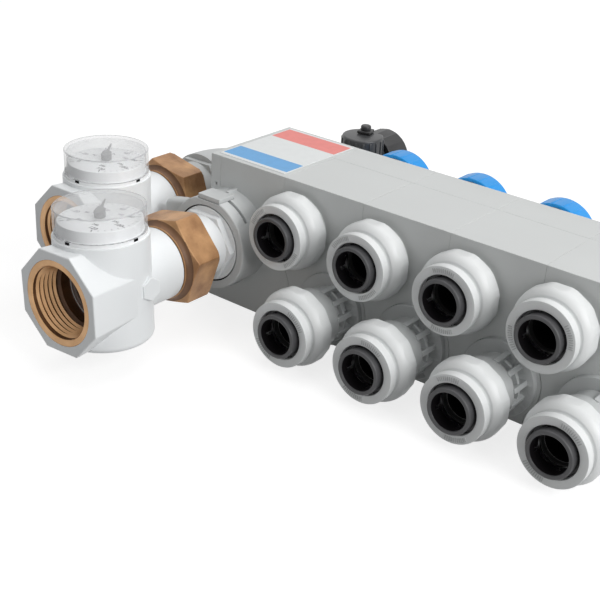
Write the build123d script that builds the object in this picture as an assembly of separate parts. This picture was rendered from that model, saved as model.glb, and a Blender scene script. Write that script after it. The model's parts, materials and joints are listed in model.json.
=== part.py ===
from build123d import *
import os
from math import cos, sin, radians, sqrt

# Plastic heating manifold: two modular bars with four flow and four return outlets, push-fit
# pipe sockets, valve inserts under blue hand caps, a drain valve and two gauge tees with brass unions.
# Millimetres. The origin is the centre of the block's underside, +X runs along the row of outlets,
# the outlets open towards -Y and the label faces +Z.

# Clearances
fit_gap = 0.3              # between round faces of pieces that slide or turn
joint_gap = 0.15           # round the interlocking lobes of the front modules
thread_gap = 0.3           # between a nut's bore and its screw

# Block of modules
module_count = 4
module_pitch = 45.0
end_piece_length = 39.0    # left end piece, without its cover plate
end_plate_thickness = 6.0
end_wall = 4.0             # closes the front channel at the left
end_notch_x = 3.2          # small slot in the left plate's front edge
end_notch_drop = 14.6
end_notch_size = 1.3
block_height = 74.4
bar_depth = 37.5           # front bar and rear bar are equally deep
rear_slope_run = 16.9      # the rear bar's top edge slopes down to its back
rear_slope_drop = 9.7
lobe_r = 19.2              # round joint lobe on each front piece
lobe_reach = 5.8           # how far a lobe passes the seam
lobe_height = 18.5         # lobe centre above the underside
channel_r = 11.0           # water channel along each bar
front_channel_z = 28.4
channel_seal_wall = 3.0
channel_seal_depth = 2.0
passage_r = 7.0            # small passages inside the block

# Tie rods through both bars
rod_r = 2.5
rod_head_r = 4.4
rod_head_height = 3.6
rod_edge = 6.4             # rod centre from the top and from the underside
rod_seam = 6.5             # rod centre from the seam between the bars
rod_hole_gap = 0.2
rod_nut_across = 8.0
rod_key_across = 4.0       # hexagon socket in the rod's head
rod_key_depth = 2.0
rod_head_at = 0.4          # head's top below the plate's face

# Outlets, placed from a module's left seam and from the top
upper_outlet_x = 10.0
upper_outlet_drop = 22.2
upper_outlet_reach = 17.6  # ring plane of the cap in front of the block's face
lower_outlet_x = 31.6
lower_outlet_reach = 37.8
lower_nut_ground_gap = 0.2
pipe_socket_r = 8.3        # takes 16 mm pipe
pipe_socket_depth = 24.5

# Push-fit cap: marked ring, hollow neck and faceted nut in one moulding
cap_length = 15.0
cap_ring_r = 15.26
cap_ring_thickness = 2.6
cap_ring_edge = 0.3
cap_bore_r = 11.43
cap_wall = 3.0
cap_neck_r = 14.2
cap_shoulder_r = 16.8
cap_shoulder_at = 6.6
cap_nut_at = 9.2
cap_nut_across = 35.5      # across opposite facets
cap_nut_corner = 0.3       # how far the turned shoulder stands past the facet corners
cap_facets = 12
spigot_r = 12.0            # tube that the cap screws on
spigot_front = 7.1         # spigot's end behind the ring plane
boss_flange_r = 16.0
boss_flange_thickness = 1.8

# Release collet inside each cap
collet_proud = 2.9
collet_bore_r = 8.29
collet_sleeve_r = 10.9
collet_lip_height = 1.0
collet_lip_thickness = 1.1
collet_edge = 0.5
collet_slots = 4
collet_slot_width = 1.6
grip_ring_thickness = 0.8
pipe_seal_wall = 1.7
pipe_seal_depth = 2.6

# Lower stems with ribs and windows
stem_tube_r = 11.9
stem_flange_r = 17.6
stem_flange_thickness = 2.6
stem_socket_depth = 7.0
stem_sleeve_r = 13.8
stem_sleeve_at = 12.0
stem_sleeve_end_gap = 1.3
stem_rib_r = 14.4
stem_rib_width = 2.4
stem_rib_count = 6
stem_rib_first = 75.0      # degrees from +X towards +Z
stem_rib_step = 31.0
stem_cross_wall_at = 7.2
stem_cross_wall_thickness = 1.3
stem_cross_wall_r = 13.3
stem_floor_r = 10.9        # floor of the windows, below the tube's face

# Blue hand caps on the valve inserts
hand_cap_r = 16.9
hand_cap_length = 12.0
hand_cap_wall = 1.6
hand_cap_roof = 2.4
hand_cap_gap = 0.6         # to the block's rear face
hand_cap_ribs = 18
hand_cap_rib_r = 0.7
insert_neck_length = 9.0
insert_thread_r = 7.9
insert_depth = 14.0
insert_pin_r = 1.6
insert_pin_proud = 0.7

# Drain valve at the rear of the left end piece, placed from its right seam and from the top
drain_from_seam = 22.5
drain_drop = 22.3
drain_body_width = 26.0
drain_body_top = 13.3      # body's flat top above its axis
drain_body_length = 24.0
drain_body_chamfer = 5.0
drain_rib_count = 4
drain_rib_width = 2.2
drain_rib_height = 1.0
drain_thread_r = 11.4
drain_spigot_r = 9.0
drain_spigot_length = 6.0
drain_thread_length = 13.0
drain_bore_r = 6.5
drain_cap_r = 14.0
drain_cap_length = 16.0
drain_cap_roof = 3.0
drain_cap_facets = 16
drain_knob_size = 6.0
drain_knob_height = 8.0
drain_knob_base_r = 4.8
drain_knob_base_height = 2.4
drain_knob_at = 19.5       # along the drain body from the block
drain_stem_r = 2.5
drain_stem_depth = 8.0

# Label on the left end piece's top, placed from the left end and from the front
label_x = 2.8
label_y = 2.6
label_length = 40.0
label_depth = 53.6
label_thickness = 0.3

# Gauge tees; stations count outwards from the face that the front tee's collar sits on
tee_x = 14.1
tee_drop = 37.2
rear_tee_shift_x = -52.3
front_tee_turn = 3.3       # degrees about the tee's own run
rear_tee_turn = 0.8
mouth_at = 109.3
mouth_across = 45.6        # octagon across flats
mouth_root_across = 42.0   # the octagon tapers to this at the upright body
body_at = 82.9
body_r = 21.0
body_top = 24.4            # upright body above and below the run's axis
body_bottom = 24.0
body_round = 3.0
arm_r = 16.9
arm_end_at = 50.4
tee_bore_r = 12.6
lug_across = 9.6           # small hexagonal lug between body and arm
lug_at = 71.0
lug_height = 2.2
lug_out = 18.8
insert_r = 19.3            # brass thread insert in the mouth
insert_length = 20.0
insert_step_r = 17.6
insert_step_at = 5.0
thread_minor_r = 15.15     # one-inch pipe thread
mouth_chamfer_r = 16.76
male_thread_r = 16.3
male_thread_length = 9.9
male_root_length = 8.0
male_root_r = 14.6

# Brass union nut
nut_across = 39.0
nut_front_gap = 0.3
nut_back_at = 33.8
nut_bevel_r = 16.9
nut_bevel_length = 5.4
nut_bevel_reach_r = 21.3
nut_back_bevel_r = 20.6
nut_back_wall = 2.6
nut_hole_r = 15.1
front_nut_corner = 12.0    # degrees of one corner from +X towards +Z
rear_nut_corner = 48.5

# Tailpiece between the union and the collar
tail_flange_r = 16.2
tail_flange_thickness = 2.6
tail_neck_r = 14.8
tail_hex_across = 32.4
tail_hex_length = 3.6
tail_hex_corner = 28.0
tail_spigot_r = 18.2
tail_groove_r = 16.6
rear_tail_r = 15.0
rear_tail_length = 4.0
tail_spigot_gap = 3.0      # spigot's end above the collar's floor
union_seal_thickness = 1.3
union_seal_gap = 0.1

# Collar on the block's face with its locking clip
collar_r = 22.6
collar_length = 17.5
collar_floor = 3.0
collar_edge = 0.6
collar_spigot_r = 12.4
collar_spigot_length = 7.5
collar_way_r = 10.0
clip_slot_at = 10.8
clip_thickness = 1.7
clip_slot_width = 2.0
clip_slot_outer_x = 18.1
clip_leg_width = 1.2
clip_leg_foot = -8.0
clip_head_width = 13.5
clip_head_front = 16.9
clip_head_back = 7.0
clip_head_top = 23.4
clip_head_thickness = 2.2
clip_band_inner_r = 20.2
clip_band_width = 1.2
tab_left = -34.6           # grip tab at the collar's left, from the collar's axis
tab_top = 16.9
tab_height = 13.0
tab_front = 15.6
tab_back = 8.8
tab_round = 3.3
fin_left = -0.1
fin_width = 9.0
fin_top = 27.2
fin_out = 7.0
foot_lug_left = 0.9
foot_lug_right = 6.9
foot_lug_r = 24.0
foot_lug_out = 8.0

# Rear elbow into the rear bar's left end; its bend clears the tube's own radius
elbow_bend_r = 18.5
elbow_inlet_run = 4.35      # straight run before the bend
elbow_spigot_length = 12.0
elbow_shoulder_r = 20.2
elbow_shoulder_length = 4.0

# Gauge on each tee, heights from the tee's run axis
gauge_r = 20.1
gauge_top = 37.2
gauge_base_height = 1.6
cover_wall = 1.2
cover_roof = 1.2
dial_r = 18.4
dial_height = 31.2
pointer_height = 33.2
pointer_thickness = 0.6
pointer_hub_r = 2.3
pointer_hub_height = 1.9
pointer_length = 12.6
pointer_tail = 5.0
pointer_width = 3.4
pointer_direction = 118.0  # degrees from +X towards +Y
pin_r = 0.5
cover_notches = 4
cover_notch_width = 3.2
cover_notch_height = 1.3
cover_notch_first = -75.0
pocket_r = 3.4             # sensor pocket that dips into the water
pocket_foot = 1.0

# Worked out from the sizes above
block_length = end_piece_length + module_count * module_pitch + 2 * end_plate_thickness
block_depth = 2 * bar_depth
left_x = -block_length / 2
front_y = -block_depth / 2
seam_y = front_y + bar_depth
rear_y = block_depth / 2
front_bar_y = (front_y + seam_y) / 2
rear_bar_y = (seam_y + rear_y) / 2
first_seam_x = left_x + end_plate_thickness + end_piece_length
lobe_x = lobe_reach - lobe_r
upper_z = block_height - upper_outlet_drop
lower_z = cap_nut_across / 2 / cos(radians(180 / cap_facets)) + lower_nut_ground_gap
tee_z = block_height - tee_drop
rear_channel_z = tee_z
front_tee_x = left_x + tee_x
rear_tee_x = front_tee_x + rear_tee_shift_x
rear_tee_y = rear_bar_y - elbow_bend_r - elbow_inlet_run + collar_length
drain_x = end_plate_thickness + end_piece_length - drain_from_seam
cap_cavity_r = spigot_r + fit_gap
stem_socket_r = stem_tube_r + joint_gap
collar_bore_r = tail_spigot_r + fit_gap
socket_r = collar_spigot_r + joint_gap
cover_foot = body_top + gauge_base_height
module_starts = [first_seam_x + k * module_pitch for k in range(module_count)]
row_end_x = first_seam_x + module_count * module_pitch


# Shared helpers

def turned(*outline):
    """Solid turned about Z from an outline of edges in the XZ plane."""
    return revolve(make_face(Wire(list(outline))), Axis.Z)


def ring_profile(*points):
    """Closed polygon of (radius, height) points as edges in the XZ plane."""
    return Polyline(*[(r, 0, h) for r, h in points], close=True).edges()


def tube(outer, inner, low, high):
    body = Pos(0, 0, low) * Cylinder(outer, high - low, align=(Align.CENTER, Align.CENTER, Align.MIN))
    if inner > 0:
        body -= Pos(0, 0, low - 1) * Cylinder(
            inner, high - low + 2, align=(Align.CENTER, Align.CENTER, Align.MIN))
    return body


def rod(radius, low, high):
    return tube(radius, 0, low, high)


def block(x0, x1, y0, y1, z0, z1):
    return Pos((x0 + x1) / 2, (y0 + y1) / 2, (z0 + z1) / 2) * Box(x1 - x0, y1 - y0, z1 - z0)


def prism(across, sides, corner, low, high):
    """Regular prism along Z, with one corner at the given angle."""
    circum = across / 2 / cos(radians(180 / sides))
    face = RegularPolygon(circum, sides, rotation=corner)
    return Pos(0, 0, low) * extrude(face, high - low)


def outward(x, z, y=front_y, turn=0.0):
    """Place a piece whose own Z points out of the front, -Y, with its own Y up."""
    return Plane(origin=(x, y, z), x_dir=(1, 0, 0), z_dir=(0, -1, 0)).location * Rot(0, 0, turn)


def backward(x, z, y=rear_y):
    """Place a piece whose own Z points out of the back, +Y, with its own Y up."""
    return Plane(origin=(x, y, z), x_dir=(-1, 0, 0), z_dir=(0, 1, 0)).location


def along_row(x, y, z):
    """Place a piece whose own Z runs along +X."""
    return Plane(origin=(x, y, z), x_dir=(0, 1, 0), z_dir=(1, 0, 0)).location


def write(name, shape):
    solids = shape.solids() if hasattr(shape, "solids") else shape
    shape = solids[0] if len(solids) == 1 else Compound(children=list(solids))
    shape.label = name
    export_step(shape, f"parts/{name}.step")


# Block

rod_places = [(y, z) for y in (seam_y - rod_seam, seam_y + rod_seam)
              for z in (rod_edge, block_height - rod_edge)]


def front_section(x0, x1):
    return block(x0, x1, front_y, seam_y, 0, block_height)


def rear_section(x0, x1):
    outline = Polyline(
        (0, seam_y, 0), (0, rear_y, 0), (0, rear_y, block_height - rear_slope_drop),
        (0, rear_y - rear_slope_run, block_height), (0, seam_y, block_height), close=True)
    return Pos(x0, 0, 0) * extrude(make_face(outline), x1 - x0, dir=(1, 0, 0))


def lobe(seam, radius):
    """Round joint of the piece that ends at this seam."""
    disc = outward(seam + lobe_x, lobe_height) * rod(radius, -bar_depth, 0)
    return disc & block(seam - block_depth, seam + block_depth, front_y, seam_y, 0, block_height)


def rod_holes(x0, x1, y_low, y_high):
    holes = []
    for y, z in rod_places:
        if y_low < y < y_high:
            holes.append(along_row(x0 - 1, y, z) * rod(rod_r + rod_hole_gap, 0, x1 - x0 + 2 + lobe_reach))
    return holes


def channel(x0, x1, y, z):
    return along_row(x0, y, z) * rod(channel_r, 0, x1 - x0)


def seal_recess(x, y, z):
    return along_row(x, y, z) * rod(channel_r + channel_seal_wall, 0, channel_seal_depth)


def front_piece(x0, x1, channel_start, has_lobe, takes_lobe):
    body = front_section(x0, x1)
    if has_lobe:
        body += lobe(x1, lobe_r)
    if takes_lobe:
        body -= lobe(x0, lobe_r + joint_gap)
    for hole in rod_holes(x0, x1, front_y, seam_y):
        body -= hole
    return body - channel(channel_start, x1 + lobe_reach + 1, front_bar_y, front_channel_z)


def rear_piece(x0, x1):
    body = rear_section(x0, x1)
    for hole in rod_holes(x0, x1, seam_y, rear_y):
        body -= hole
    return body - channel(x0 - 1, x1 + 1, rear_bar_y, rear_channel_z)


def upper_spigot():
    """Tube on the block's face that an upper cap screws on, with its pipe socket."""
    front = upper_outlet_reach - spigot_front
    body = rod(spigot_r, 0, front) + rod(boss_flange_r, 0, boss_flange_thickness)
    return body, front


def socket_cut(front, depth_end):
    """Pipe socket with its seal seat, then the narrower way into the block."""
    stop = front - pipe_socket_depth
    cut = rod(pipe_socket_r, stop, front + 1)
    cut += rod(pipe_socket_r + pipe_seal_wall, front - pipe_seal_depth, front + 1)
    return cut + rod(passage_r, depth_end, stop)


def front_module(k):
    x0 = module_starts[k]
    x1 = x0 + module_pitch
    last = k == module_count - 1
    body = front_piece(x0, x1, x0 - lobe_reach, not last, True)
    body -= seal_recess(x0 + lobe_reach + joint_gap, front_bar_y, front_channel_z)
    place = outward(x0 + upper_outlet_x, upper_z)
    spigot, front = upper_spigot()
    body += place * spigot
    body -= place * socket_cut(front, -bar_depth - 1)
    lower = outward(x0 + lower_outlet_x, lower_z)
    body -= lower * rod(stem_socket_r, -stem_socket_depth, 1)
    return body - lower * rod(passage_r, -bar_depth / 2, 1)


def rear_module(k):
    x0 = module_starts[k]
    body = rear_piece(x0, x0 + module_pitch)
    body -= seal_recess(x0, rear_bar_y, rear_channel_z)
    place = backward(x0 + upper_outlet_x, upper_z)
    body -= place * rod(insert_thread_r + joint_gap, -insert_depth, 1)
    return body - place * rod(passage_r, -bar_depth - 1, 0)


def front_end_block():
    x0 = left_x + end_plate_thickness
    body = front_piece(x0, first_seam_x, x0 + end_wall, True, False)
    inlet = outward(front_tee_x, tee_z)
    body -= inlet * rod(socket_r, -collar_spigot_length - fit_gap, 1)
    return body - inlet * rod(passage_r, -bar_depth / 2, 1)


def rear_end_block():
    x0 = left_x + end_plate_thickness
    body = rear_piece(x0, first_seam_x)
    inlet = along_row(x0, rear_bar_y, rear_channel_z)
    body -= inlet * rod(socket_r, -1, elbow_spigot_length - end_plate_thickness + fit_gap)
    drain = backward(left_x + drain_x, block_height - drain_drop)
    body -= drain * rod(drain_spigot_r + joint_gap, -drain_spigot_length - joint_gap, 1)
    return body - drain * rod(drain_bore_r, -bar_depth / 2, 1)


def end_plate(x0, inlet):
    body = front_section(x0, x0 + end_plate_thickness) + rear_section(x0, x0 + end_plate_thickness)
    for y, z in rod_places:
        body -= along_row(x0 - 1, y, z) * rod(rod_r + rod_hole_gap, 0, end_plate_thickness + 2)
    if inlet:
        body -= along_row(x0 - 1, rear_bar_y, rear_channel_z) * rod(socket_r, 0, end_plate_thickness + 2)
        body -= outward(front_tee_x, tee_z) * rod(socket_r, -collar_spigot_length - fit_gap, 1)
        notch = Pos(x0 + end_notch_x, front_y, block_height - end_notch_drop)
        body -= notch * Box(end_notch_size, 2 * end_notch_size, end_notch_size)
    return body


def left_end_plate():
    body = end_plate(left_x, True)
    for y, z in rod_places:
        body -= along_row(left_x - 1, y, z) * rod(rod_head_r + rod_hole_gap, 0, rod_head_height + 1)
    return body


def right_end_plate():
    x1 = left_x + block_length
    body = end_plate(row_end_x, False)
    for y, z in ((front_bar_y, front_channel_z), (rear_bar_y, rear_channel_z)):
        body -= seal_recess(row_end_x, y, z)
    for y, z in rod_places:
        body -= along_row(x1 - rod_head_height, y, z) * rod(
            rod_nut_across / 2 / cos(radians(30)) + rod_hole_gap, 0, rod_head_height + 1)
    return body


def tie_rods():
    rods = []
    for y, z in rod_places:
        shaft = rod(rod_r, rod_head_height - 1, block_length - 1)
        head = rod(rod_head_r, rod_head_at, rod_head_height)
        head -= prism(rod_key_across, 6, 0, 0, rod_head_at + rod_key_depth)
        rods.append(along_row(left_x, y, z) * (shaft + head))
    return rods


def tie_rod_nuts():
    nuts = []
    for y, z in rod_places:
        nut = prism(rod_nut_across, 6, 0, block_length - rod_head_height, block_length - 0.5)
        nut -= rod(rod_r + 0.05, 0, block_length + 1)
        nuts.append(along_row(left_x, y, z) * nut)
    return nuts


def channel_seals():
    seals = []
    outer = channel_r + channel_seal_wall - joint_gap
    ring = tube(outer, channel_r + joint_gap, 0, channel_seal_depth)
    for x in [seam + lobe_reach + joint_gap for seam in module_starts] + [row_end_x]:
        seals.append(along_row(x, front_bar_y, front_channel_z) * ring)
    for x in module_starts + [row_end_x]:
        seals.append(along_row(x, rear_bar_y, rear_channel_z) * ring)
    return seals


# Outlets; each piece is modelled with its ring plane at 0 and the block behind it

def outlet_cap():
    """Marked ring, concave neck and faceted nut with rounded shoulders."""
    nut_r = cap_nut_across / 2 / cos(radians(180 / cap_facets)) + cap_nut_corner
    front_edge = (cap_ring_r - cap_ring_edge, 0, 0)
    ring_front = (cap_ring_r, 0, -cap_ring_edge)
    ring_back = (cap_ring_r, 0, -cap_ring_thickness)
    neck = (cap_neck_r, 0, -cap_ring_thickness - cap_ring_edge)
    shoulder = (cap_shoulder_r, 0, -cap_shoulder_at)
    nut_start = (nut_r, 0, -cap_nut_at)
    outline = [
        *Polyline((0, 0, 0), front_edge, ring_front, ring_back, neck).edges(),
        TangentArc(neck, shoulder, tangent=(0, 0, -1)),
        TangentArc(nut_start, shoulder, tangent=(0, 0, 1)),
        *Polyline(nut_start, (nut_r, 0, -cap_length), (0, 0, -cap_length), (0, 0, 0)).edges(),
    ]
    body = turned(*outline)
    body &= prism(cap_nut_across, cap_facets, 180 / cap_facets, -cap_length - 1, 1)
    body -= rod(cap_bore_r, -cap_length - 1, 1)
    return body - rod(cap_cavity_r, -cap_length - 1, -cap_wall)


def collet():
    """Sleeve that releases the pipe when it is pressed in."""
    lip = -cap_wall - fit_gap
    end = lip - collet_lip_thickness
    body = turned(*ring_profile(
        (collet_bore_r, collet_proud - collet_edge), (collet_bore_r + collet_edge, collet_proud),
        (collet_sleeve_r - collet_edge, collet_proud), (collet_sleeve_r, collet_proud - collet_edge),
        (collet_sleeve_r, lip), (collet_sleeve_r + collet_lip_height, lip),
        (collet_sleeve_r + collet_lip_height, end), (collet_bore_r, end)))
    for k in range(collet_slots):
        angle = k * 360 / collet_slots + 20
        slot = block(0, collet_sleeve_r + 2, -collet_slot_width / 2, collet_slot_width / 2, end - 1, -1)
        body -= Rot(0, 0, angle) * slot
    return body


def grip_ring():
    return tube(spigot_r, pipe_socket_r + fit_gap, -spigot_front, -spigot_front + grip_ring_thickness)


def pipe_seal():
    outer = pipe_socket_r + pipe_seal_wall - joint_gap
    return tube(outer, pipe_socket_r + joint_gap, -spigot_front - pipe_seal_depth, -spigot_front)


def stem_rib(angle):
    """Rib from the base flange to the sleeve."""
    rib = block(stem_floor_r - 1, stem_rib_r, -stem_rib_width / 2, stem_rib_width / 2, 0, stem_sleeve_at + 1)
    return Rot(0, 0, angle) * rib


def lower_stem():
    """Lower outlet's stem: spigot, base flange, ribbed windows and the tube that takes the cap."""
    front = lower_outlet_reach - spigot_front
    sleeve_end = lower_outlet_reach - cap_length - stem_sleeve_end_gap
    body = rod(stem_tube_r, -stem_socket_depth, front)
    body += rod(stem_flange_r, 0, stem_flange_thickness)
    body += rod(stem_sleeve_r, stem_sleeve_at, sleeve_end)
    first = stem_rib_first
    last = first - (stem_rib_count - 1) * stem_rib_step
    window = tube(stem_rib_r, stem_floor_r, stem_flange_thickness, stem_sleeve_at)
    reach = 2 * stem_flange_r
    sector = make_face(Polyline(
        (0, 0), *[(reach * cos(radians(a)), reach * sin(radians(a)))
                  for a in (first, (3 * first + last) / 4, (first + last) / 2,
                            (first + 3 * last) / 4, last)], close=True))
    sector = extrude(sector, stem_sleeve_at + 1)
    body -= window & sector
    for k in range(stem_rib_count):
        body += stem_rib(first - k * stem_rib_step)
    wall_low = stem_cross_wall_at - stem_cross_wall_thickness / 2
    cross = tube(stem_cross_wall_r, stem_floor_r - 1, wall_low, wall_low + stem_cross_wall_thickness)
    body += cross & sector
    return body - socket_cut(front, -stem_socket_depth - 1)


# Rear side

def valve_insert():
    """Screwed insert with its closing pin under the hand cap."""
    neck_r = hand_cap_r - hand_cap_wall - fit_gap
    body = rod(insert_thread_r, -insert_depth + 0.5, 0)
    body += rod(neck_r, 0, insert_neck_length)
    body -= rod(insert_pin_r * 3, insert_neck_length - 3, insert_neck_length + 1)
    return body + rod(insert_pin_r, insert_neck_length - 4, insert_neck_length + insert_pin_proud)


def hand_cap():
    """Blue cap with grip ribs, screwed over the insert's neck."""
    low = hand_cap_gap
    high = low + hand_cap_length
    body = rod(hand_cap_r, low, high)
    body = fillet(body.edges().group_by(Axis.Z)[-1], 1.2)
    for k in range(hand_cap_ribs):
        rib = rod(hand_cap_rib_r, low + 1, high - 1.6)
        body += Rot(0, 0, k * 360 / hand_cap_ribs) * Pos(hand_cap_r - 0.15, 0, 0) * rib
    return body - rod(hand_cap_r - hand_cap_wall, low - 1, high - hand_cap_roof)


def drain_body():
    """Squarish drain body with side ribs and a hose thread."""
    half = drain_body_width / 2
    core = extrude(Rectangle(drain_body_width, 2 * drain_body_top), drain_body_length)
    core = chamfer(core.edges().filter_by(Axis.Z), drain_body_chamfer)
    core += rod(drain_spigot_r, -drain_spigot_length, 0)
    pitch = drain_body_length / (drain_rib_count + 1)
    for k in range(drain_rib_count):
        at = (k + 1) * pitch
        rib_half = drain_body_top - drain_body_chamfer
        core += block(-half - drain_rib_height, half + drain_rib_height, -rib_half, rib_half,
                      at - drain_rib_width / 2, at + drain_rib_width / 2)
    core += rod(drain_thread_r, 0, drain_body_length + drain_thread_length)
    core -= rod(drain_bore_r, -drain_spigot_length - 1, drain_body_length + drain_thread_length + 1)
    top = Pos(0, 0, drain_knob_at) * Rot(-90, 0, 0)
    return core - top * rod(drain_stem_r + 0.1, drain_body_top - drain_stem_depth, drain_body_top + 1)


def drain_knob():
    """Square shut-off spindle on a round base."""
    shift = drain_body_top + 0.2
    body = rod(drain_knob_base_r, shift, shift + drain_knob_base_height)
    half = drain_knob_size / 2
    body += block(-half, half, -half, half, shift, shift + drain_knob_height)
    body += rod(drain_stem_r, drain_body_top - drain_stem_depth + 0.5, shift + 1)
    return Pos(0, 0, drain_knob_at) * Rot(-90, 0, 0) * body


def drain_cap():
    low = drain_body_length + 2.0
    high = low + drain_cap_length
    body = prism(2 * drain_cap_r, drain_cap_facets, 0, low, high)
    body &= rod(drain_cap_r + 0.15, low, high)
    body -= rod(drain_thread_r + thread_gap, low - 1, high - drain_cap_roof)
    return body


def label_plate():
    x0 = left_x + label_x
    y0 = front_y + label_y
    return block(x0, x0 + label_length, y0, y0 + label_depth, block_height, block_height + label_thickness)


# Gauge tees; own Z is the run's axis out of the mouth, own Y is up

def upright(shape):
    """Turn a piece made along Z to stand on the tee's own Y at the body's axis."""
    return Pos(0, 0, body_at) * Rot(-90, 0, 0) * shape


def tee_body():
    mouth = RegularPolygon(mouth_across / 2 / cos(radians(22.5)), 8, rotation=22.5)
    root = RegularPolygon(mouth_root_across / 2 / cos(radians(22.5)), 8, rotation=22.5)
    body = loft([Pos(0, 0, body_at) * root, Pos(0, 0, mouth_at) * mouth])
    post = rod(body_r, -body_bottom, body_top)
    post = fillet(post.edges().group_by(Axis.Z)[0], body_round)
    body += upright(post)
    body += rod(arm_r, arm_end_at, body_at)
    lug = prism(lug_across, 6, 90, 0, lug_out)
    body += Pos(0, lug_height, lug_at) * Rot(0, 90, 0) * lug
    seat = mouth_at - insert_length
    body -= rod(insert_r, mouth_at - insert_step_at, mouth_at + 1)
    body -= rod(insert_step_r, seat, mouth_at)
    body -= rod(tee_bore_r, arm_end_at - 1, mouth_at)
    body -= rod(male_root_r, arm_end_at - 1, arm_end_at + male_root_length)
    return body - upright(rod(pocket_r, 0, body_top + 1))


def mouth_insert():
    """Brass ring with the female thread in the mouth."""
    deep = 1.6
    body = rod(insert_r, mouth_at - insert_step_at, mouth_at)
    body += rod(insert_step_r, mouth_at - insert_length, mouth_at)
    body -= rod(thread_minor_r, mouth_at - insert_length - 1, mouth_at + 1)
    cone = Cone(thread_minor_r, mouth_chamfer_r, deep, align=(Align.CENTER, Align.CENTER, Align.MIN))
    return body - Pos(0, 0, mouth_at - deep) * cone


def union_insert():
    """Brass male thread that the union nut screws on."""
    end = arm_end_at - male_thread_length
    return tube(male_thread_r, tee_bore_r, end, arm_end_at) + tube(
        male_root_r, tee_bore_r, end, arm_end_at + male_root_length)


def union_nut(corner):
    front = arm_end_at - nut_front_gap
    back = nut_back_at
    corner_r = nut_across / sqrt(3)
    slope = (nut_bevel_reach_r - nut_bevel_r) / nut_bevel_length
    bevel_end = front - (corner_r - nut_bevel_r) / slope
    blank = turned(*ring_profile(
        (0, front), (nut_bevel_r, front), (corner_r, bevel_end), (corner_r, back + 1.2),
        (nut_back_bevel_r, back), (0, back)))
    body = blank & prism(nut_across, 6, corner, back - 1, front + 1)
    body -= rod(male_thread_r + thread_gap, back + nut_back_wall, front + 1)
    return body - rod(nut_hole_r, back - 1, front)


def union_seal():
    high = arm_end_at - male_thread_length - union_seal_gap
    return tube(male_thread_r - 0.3, tee_bore_r, high - union_seal_thickness, high)


def tailpiece(locked):
    """Flanged tube behind the union with a hexagon; the front one has a spigot with the clip's groove."""
    top = arm_end_at - male_thread_length - union_seal_gap - union_seal_thickness
    neck_end = collar_length + tail_hex_length
    body = rod(tail_flange_r, top - tail_flange_thickness, top)
    body += rod(tail_neck_r, neck_end, top)
    body += prism(tail_hex_across, 6, tail_hex_corner, collar_length, neck_end)
    if locked:
        foot = collar_floor + tail_spigot_gap
        body += rod(tail_spigot_r, foot, collar_length)
        body -= tube(tail_spigot_r + 1, tail_groove_r,
                     clip_slot_at - clip_slot_width / 2, clip_slot_at + clip_slot_width / 2)
    else:
        foot = collar_length - rear_tail_length
        body += rod(rear_tail_r, foot, collar_length)
    return body - rod(tee_bore_r, foot - 1, top + 1)


def clip_arc(inner, outer, width):
    """Arch that the locking clip follows over the top of the collar."""
    low = clip_slot_at - width / 2
    arch = tube(outer, inner, low, low + width)
    return arch & block(-clip_slot_outer_x, clip_slot_outer_x, 0, outer, low, low + width)


def clip_legs(inner_x, outer_x, foot, head, width):
    low = clip_slot_at - width / 2
    return [block(min(side * inner_x, side * outer_x), max(side * inner_x, side * outer_x),
                  foot, head, low, low + width) for side in (-1, 1)]


def collar():
    """Ring on the block's face that holds the tailpiece, with its grip tab, fin and foot lug."""
    body = rod(collar_r, 0, collar_length)
    body = chamfer(body.edges().group_by(Axis.Z)[-1], collar_edge)
    body += rod(collar_spigot_r, -collar_spigot_length, 1)
    tab = block(tab_left, -collar_r * 0.8, tab_top - tab_height, tab_top, tab_back, tab_front)
    body += fillet(tab.edges().filter_by(Axis.Y).group_by(Axis.X)[0], tab_round)
    fin = Polyline((fin_left, collar_r - 2, 0), (fin_left, fin_top, 0), (fin_left, collar_r - 2, fin_out),
                   close=True)
    body += extrude(make_face(fin), fin_width, dir=(1, 0, 0))
    body += block(foot_lug_left, foot_lug_right, -foot_lug_r, -collar_r + 3, 0, foot_lug_out)
    body -= rod(collar_bore_r, collar_floor, collar_length + 1)
    body -= rod(collar_way_r, -collar_spigot_length - 1, collar_length)
    body -= clip_arc(clip_band_inner_r - fit_gap, collar_r + 1, clip_slot_width)
    for channel_cut in clip_legs(tail_groove_r, clip_slot_outer_x, clip_leg_foot - 0.6, collar_r + 1,
                                 clip_slot_width):
        body -= channel_cut
    half = clip_head_width / 2 + fit_gap
    head_floor = clip_head_top - clip_head_thickness - fit_gap
    return body - block(-half, half, head_floor, collar_r + 1, clip_head_back - fit_gap, collar_length + 1)


def locking_clip():
    """Spring clip pressed in from the top: a flat head, an arch and two legs."""
    outer = clip_slot_outer_x - joint_gap
    body = clip_arc(clip_band_inner_r, clip_band_inner_r + clip_band_width, clip_thickness)
    body &= block(-outer, outer, 0, collar_r, 0, collar_length)
    leg_head = sqrt((clip_band_inner_r + clip_band_width / 2) ** 2 - outer ** 2)
    for leg in clip_legs(outer - clip_leg_width, outer, clip_leg_foot, leg_head, clip_thickness):
        body += leg
    half = clip_head_width / 2
    head = block(-half, half, clip_head_top - clip_head_thickness, clip_head_top,
                 clip_head_back, clip_head_front)
    return body + head


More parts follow.
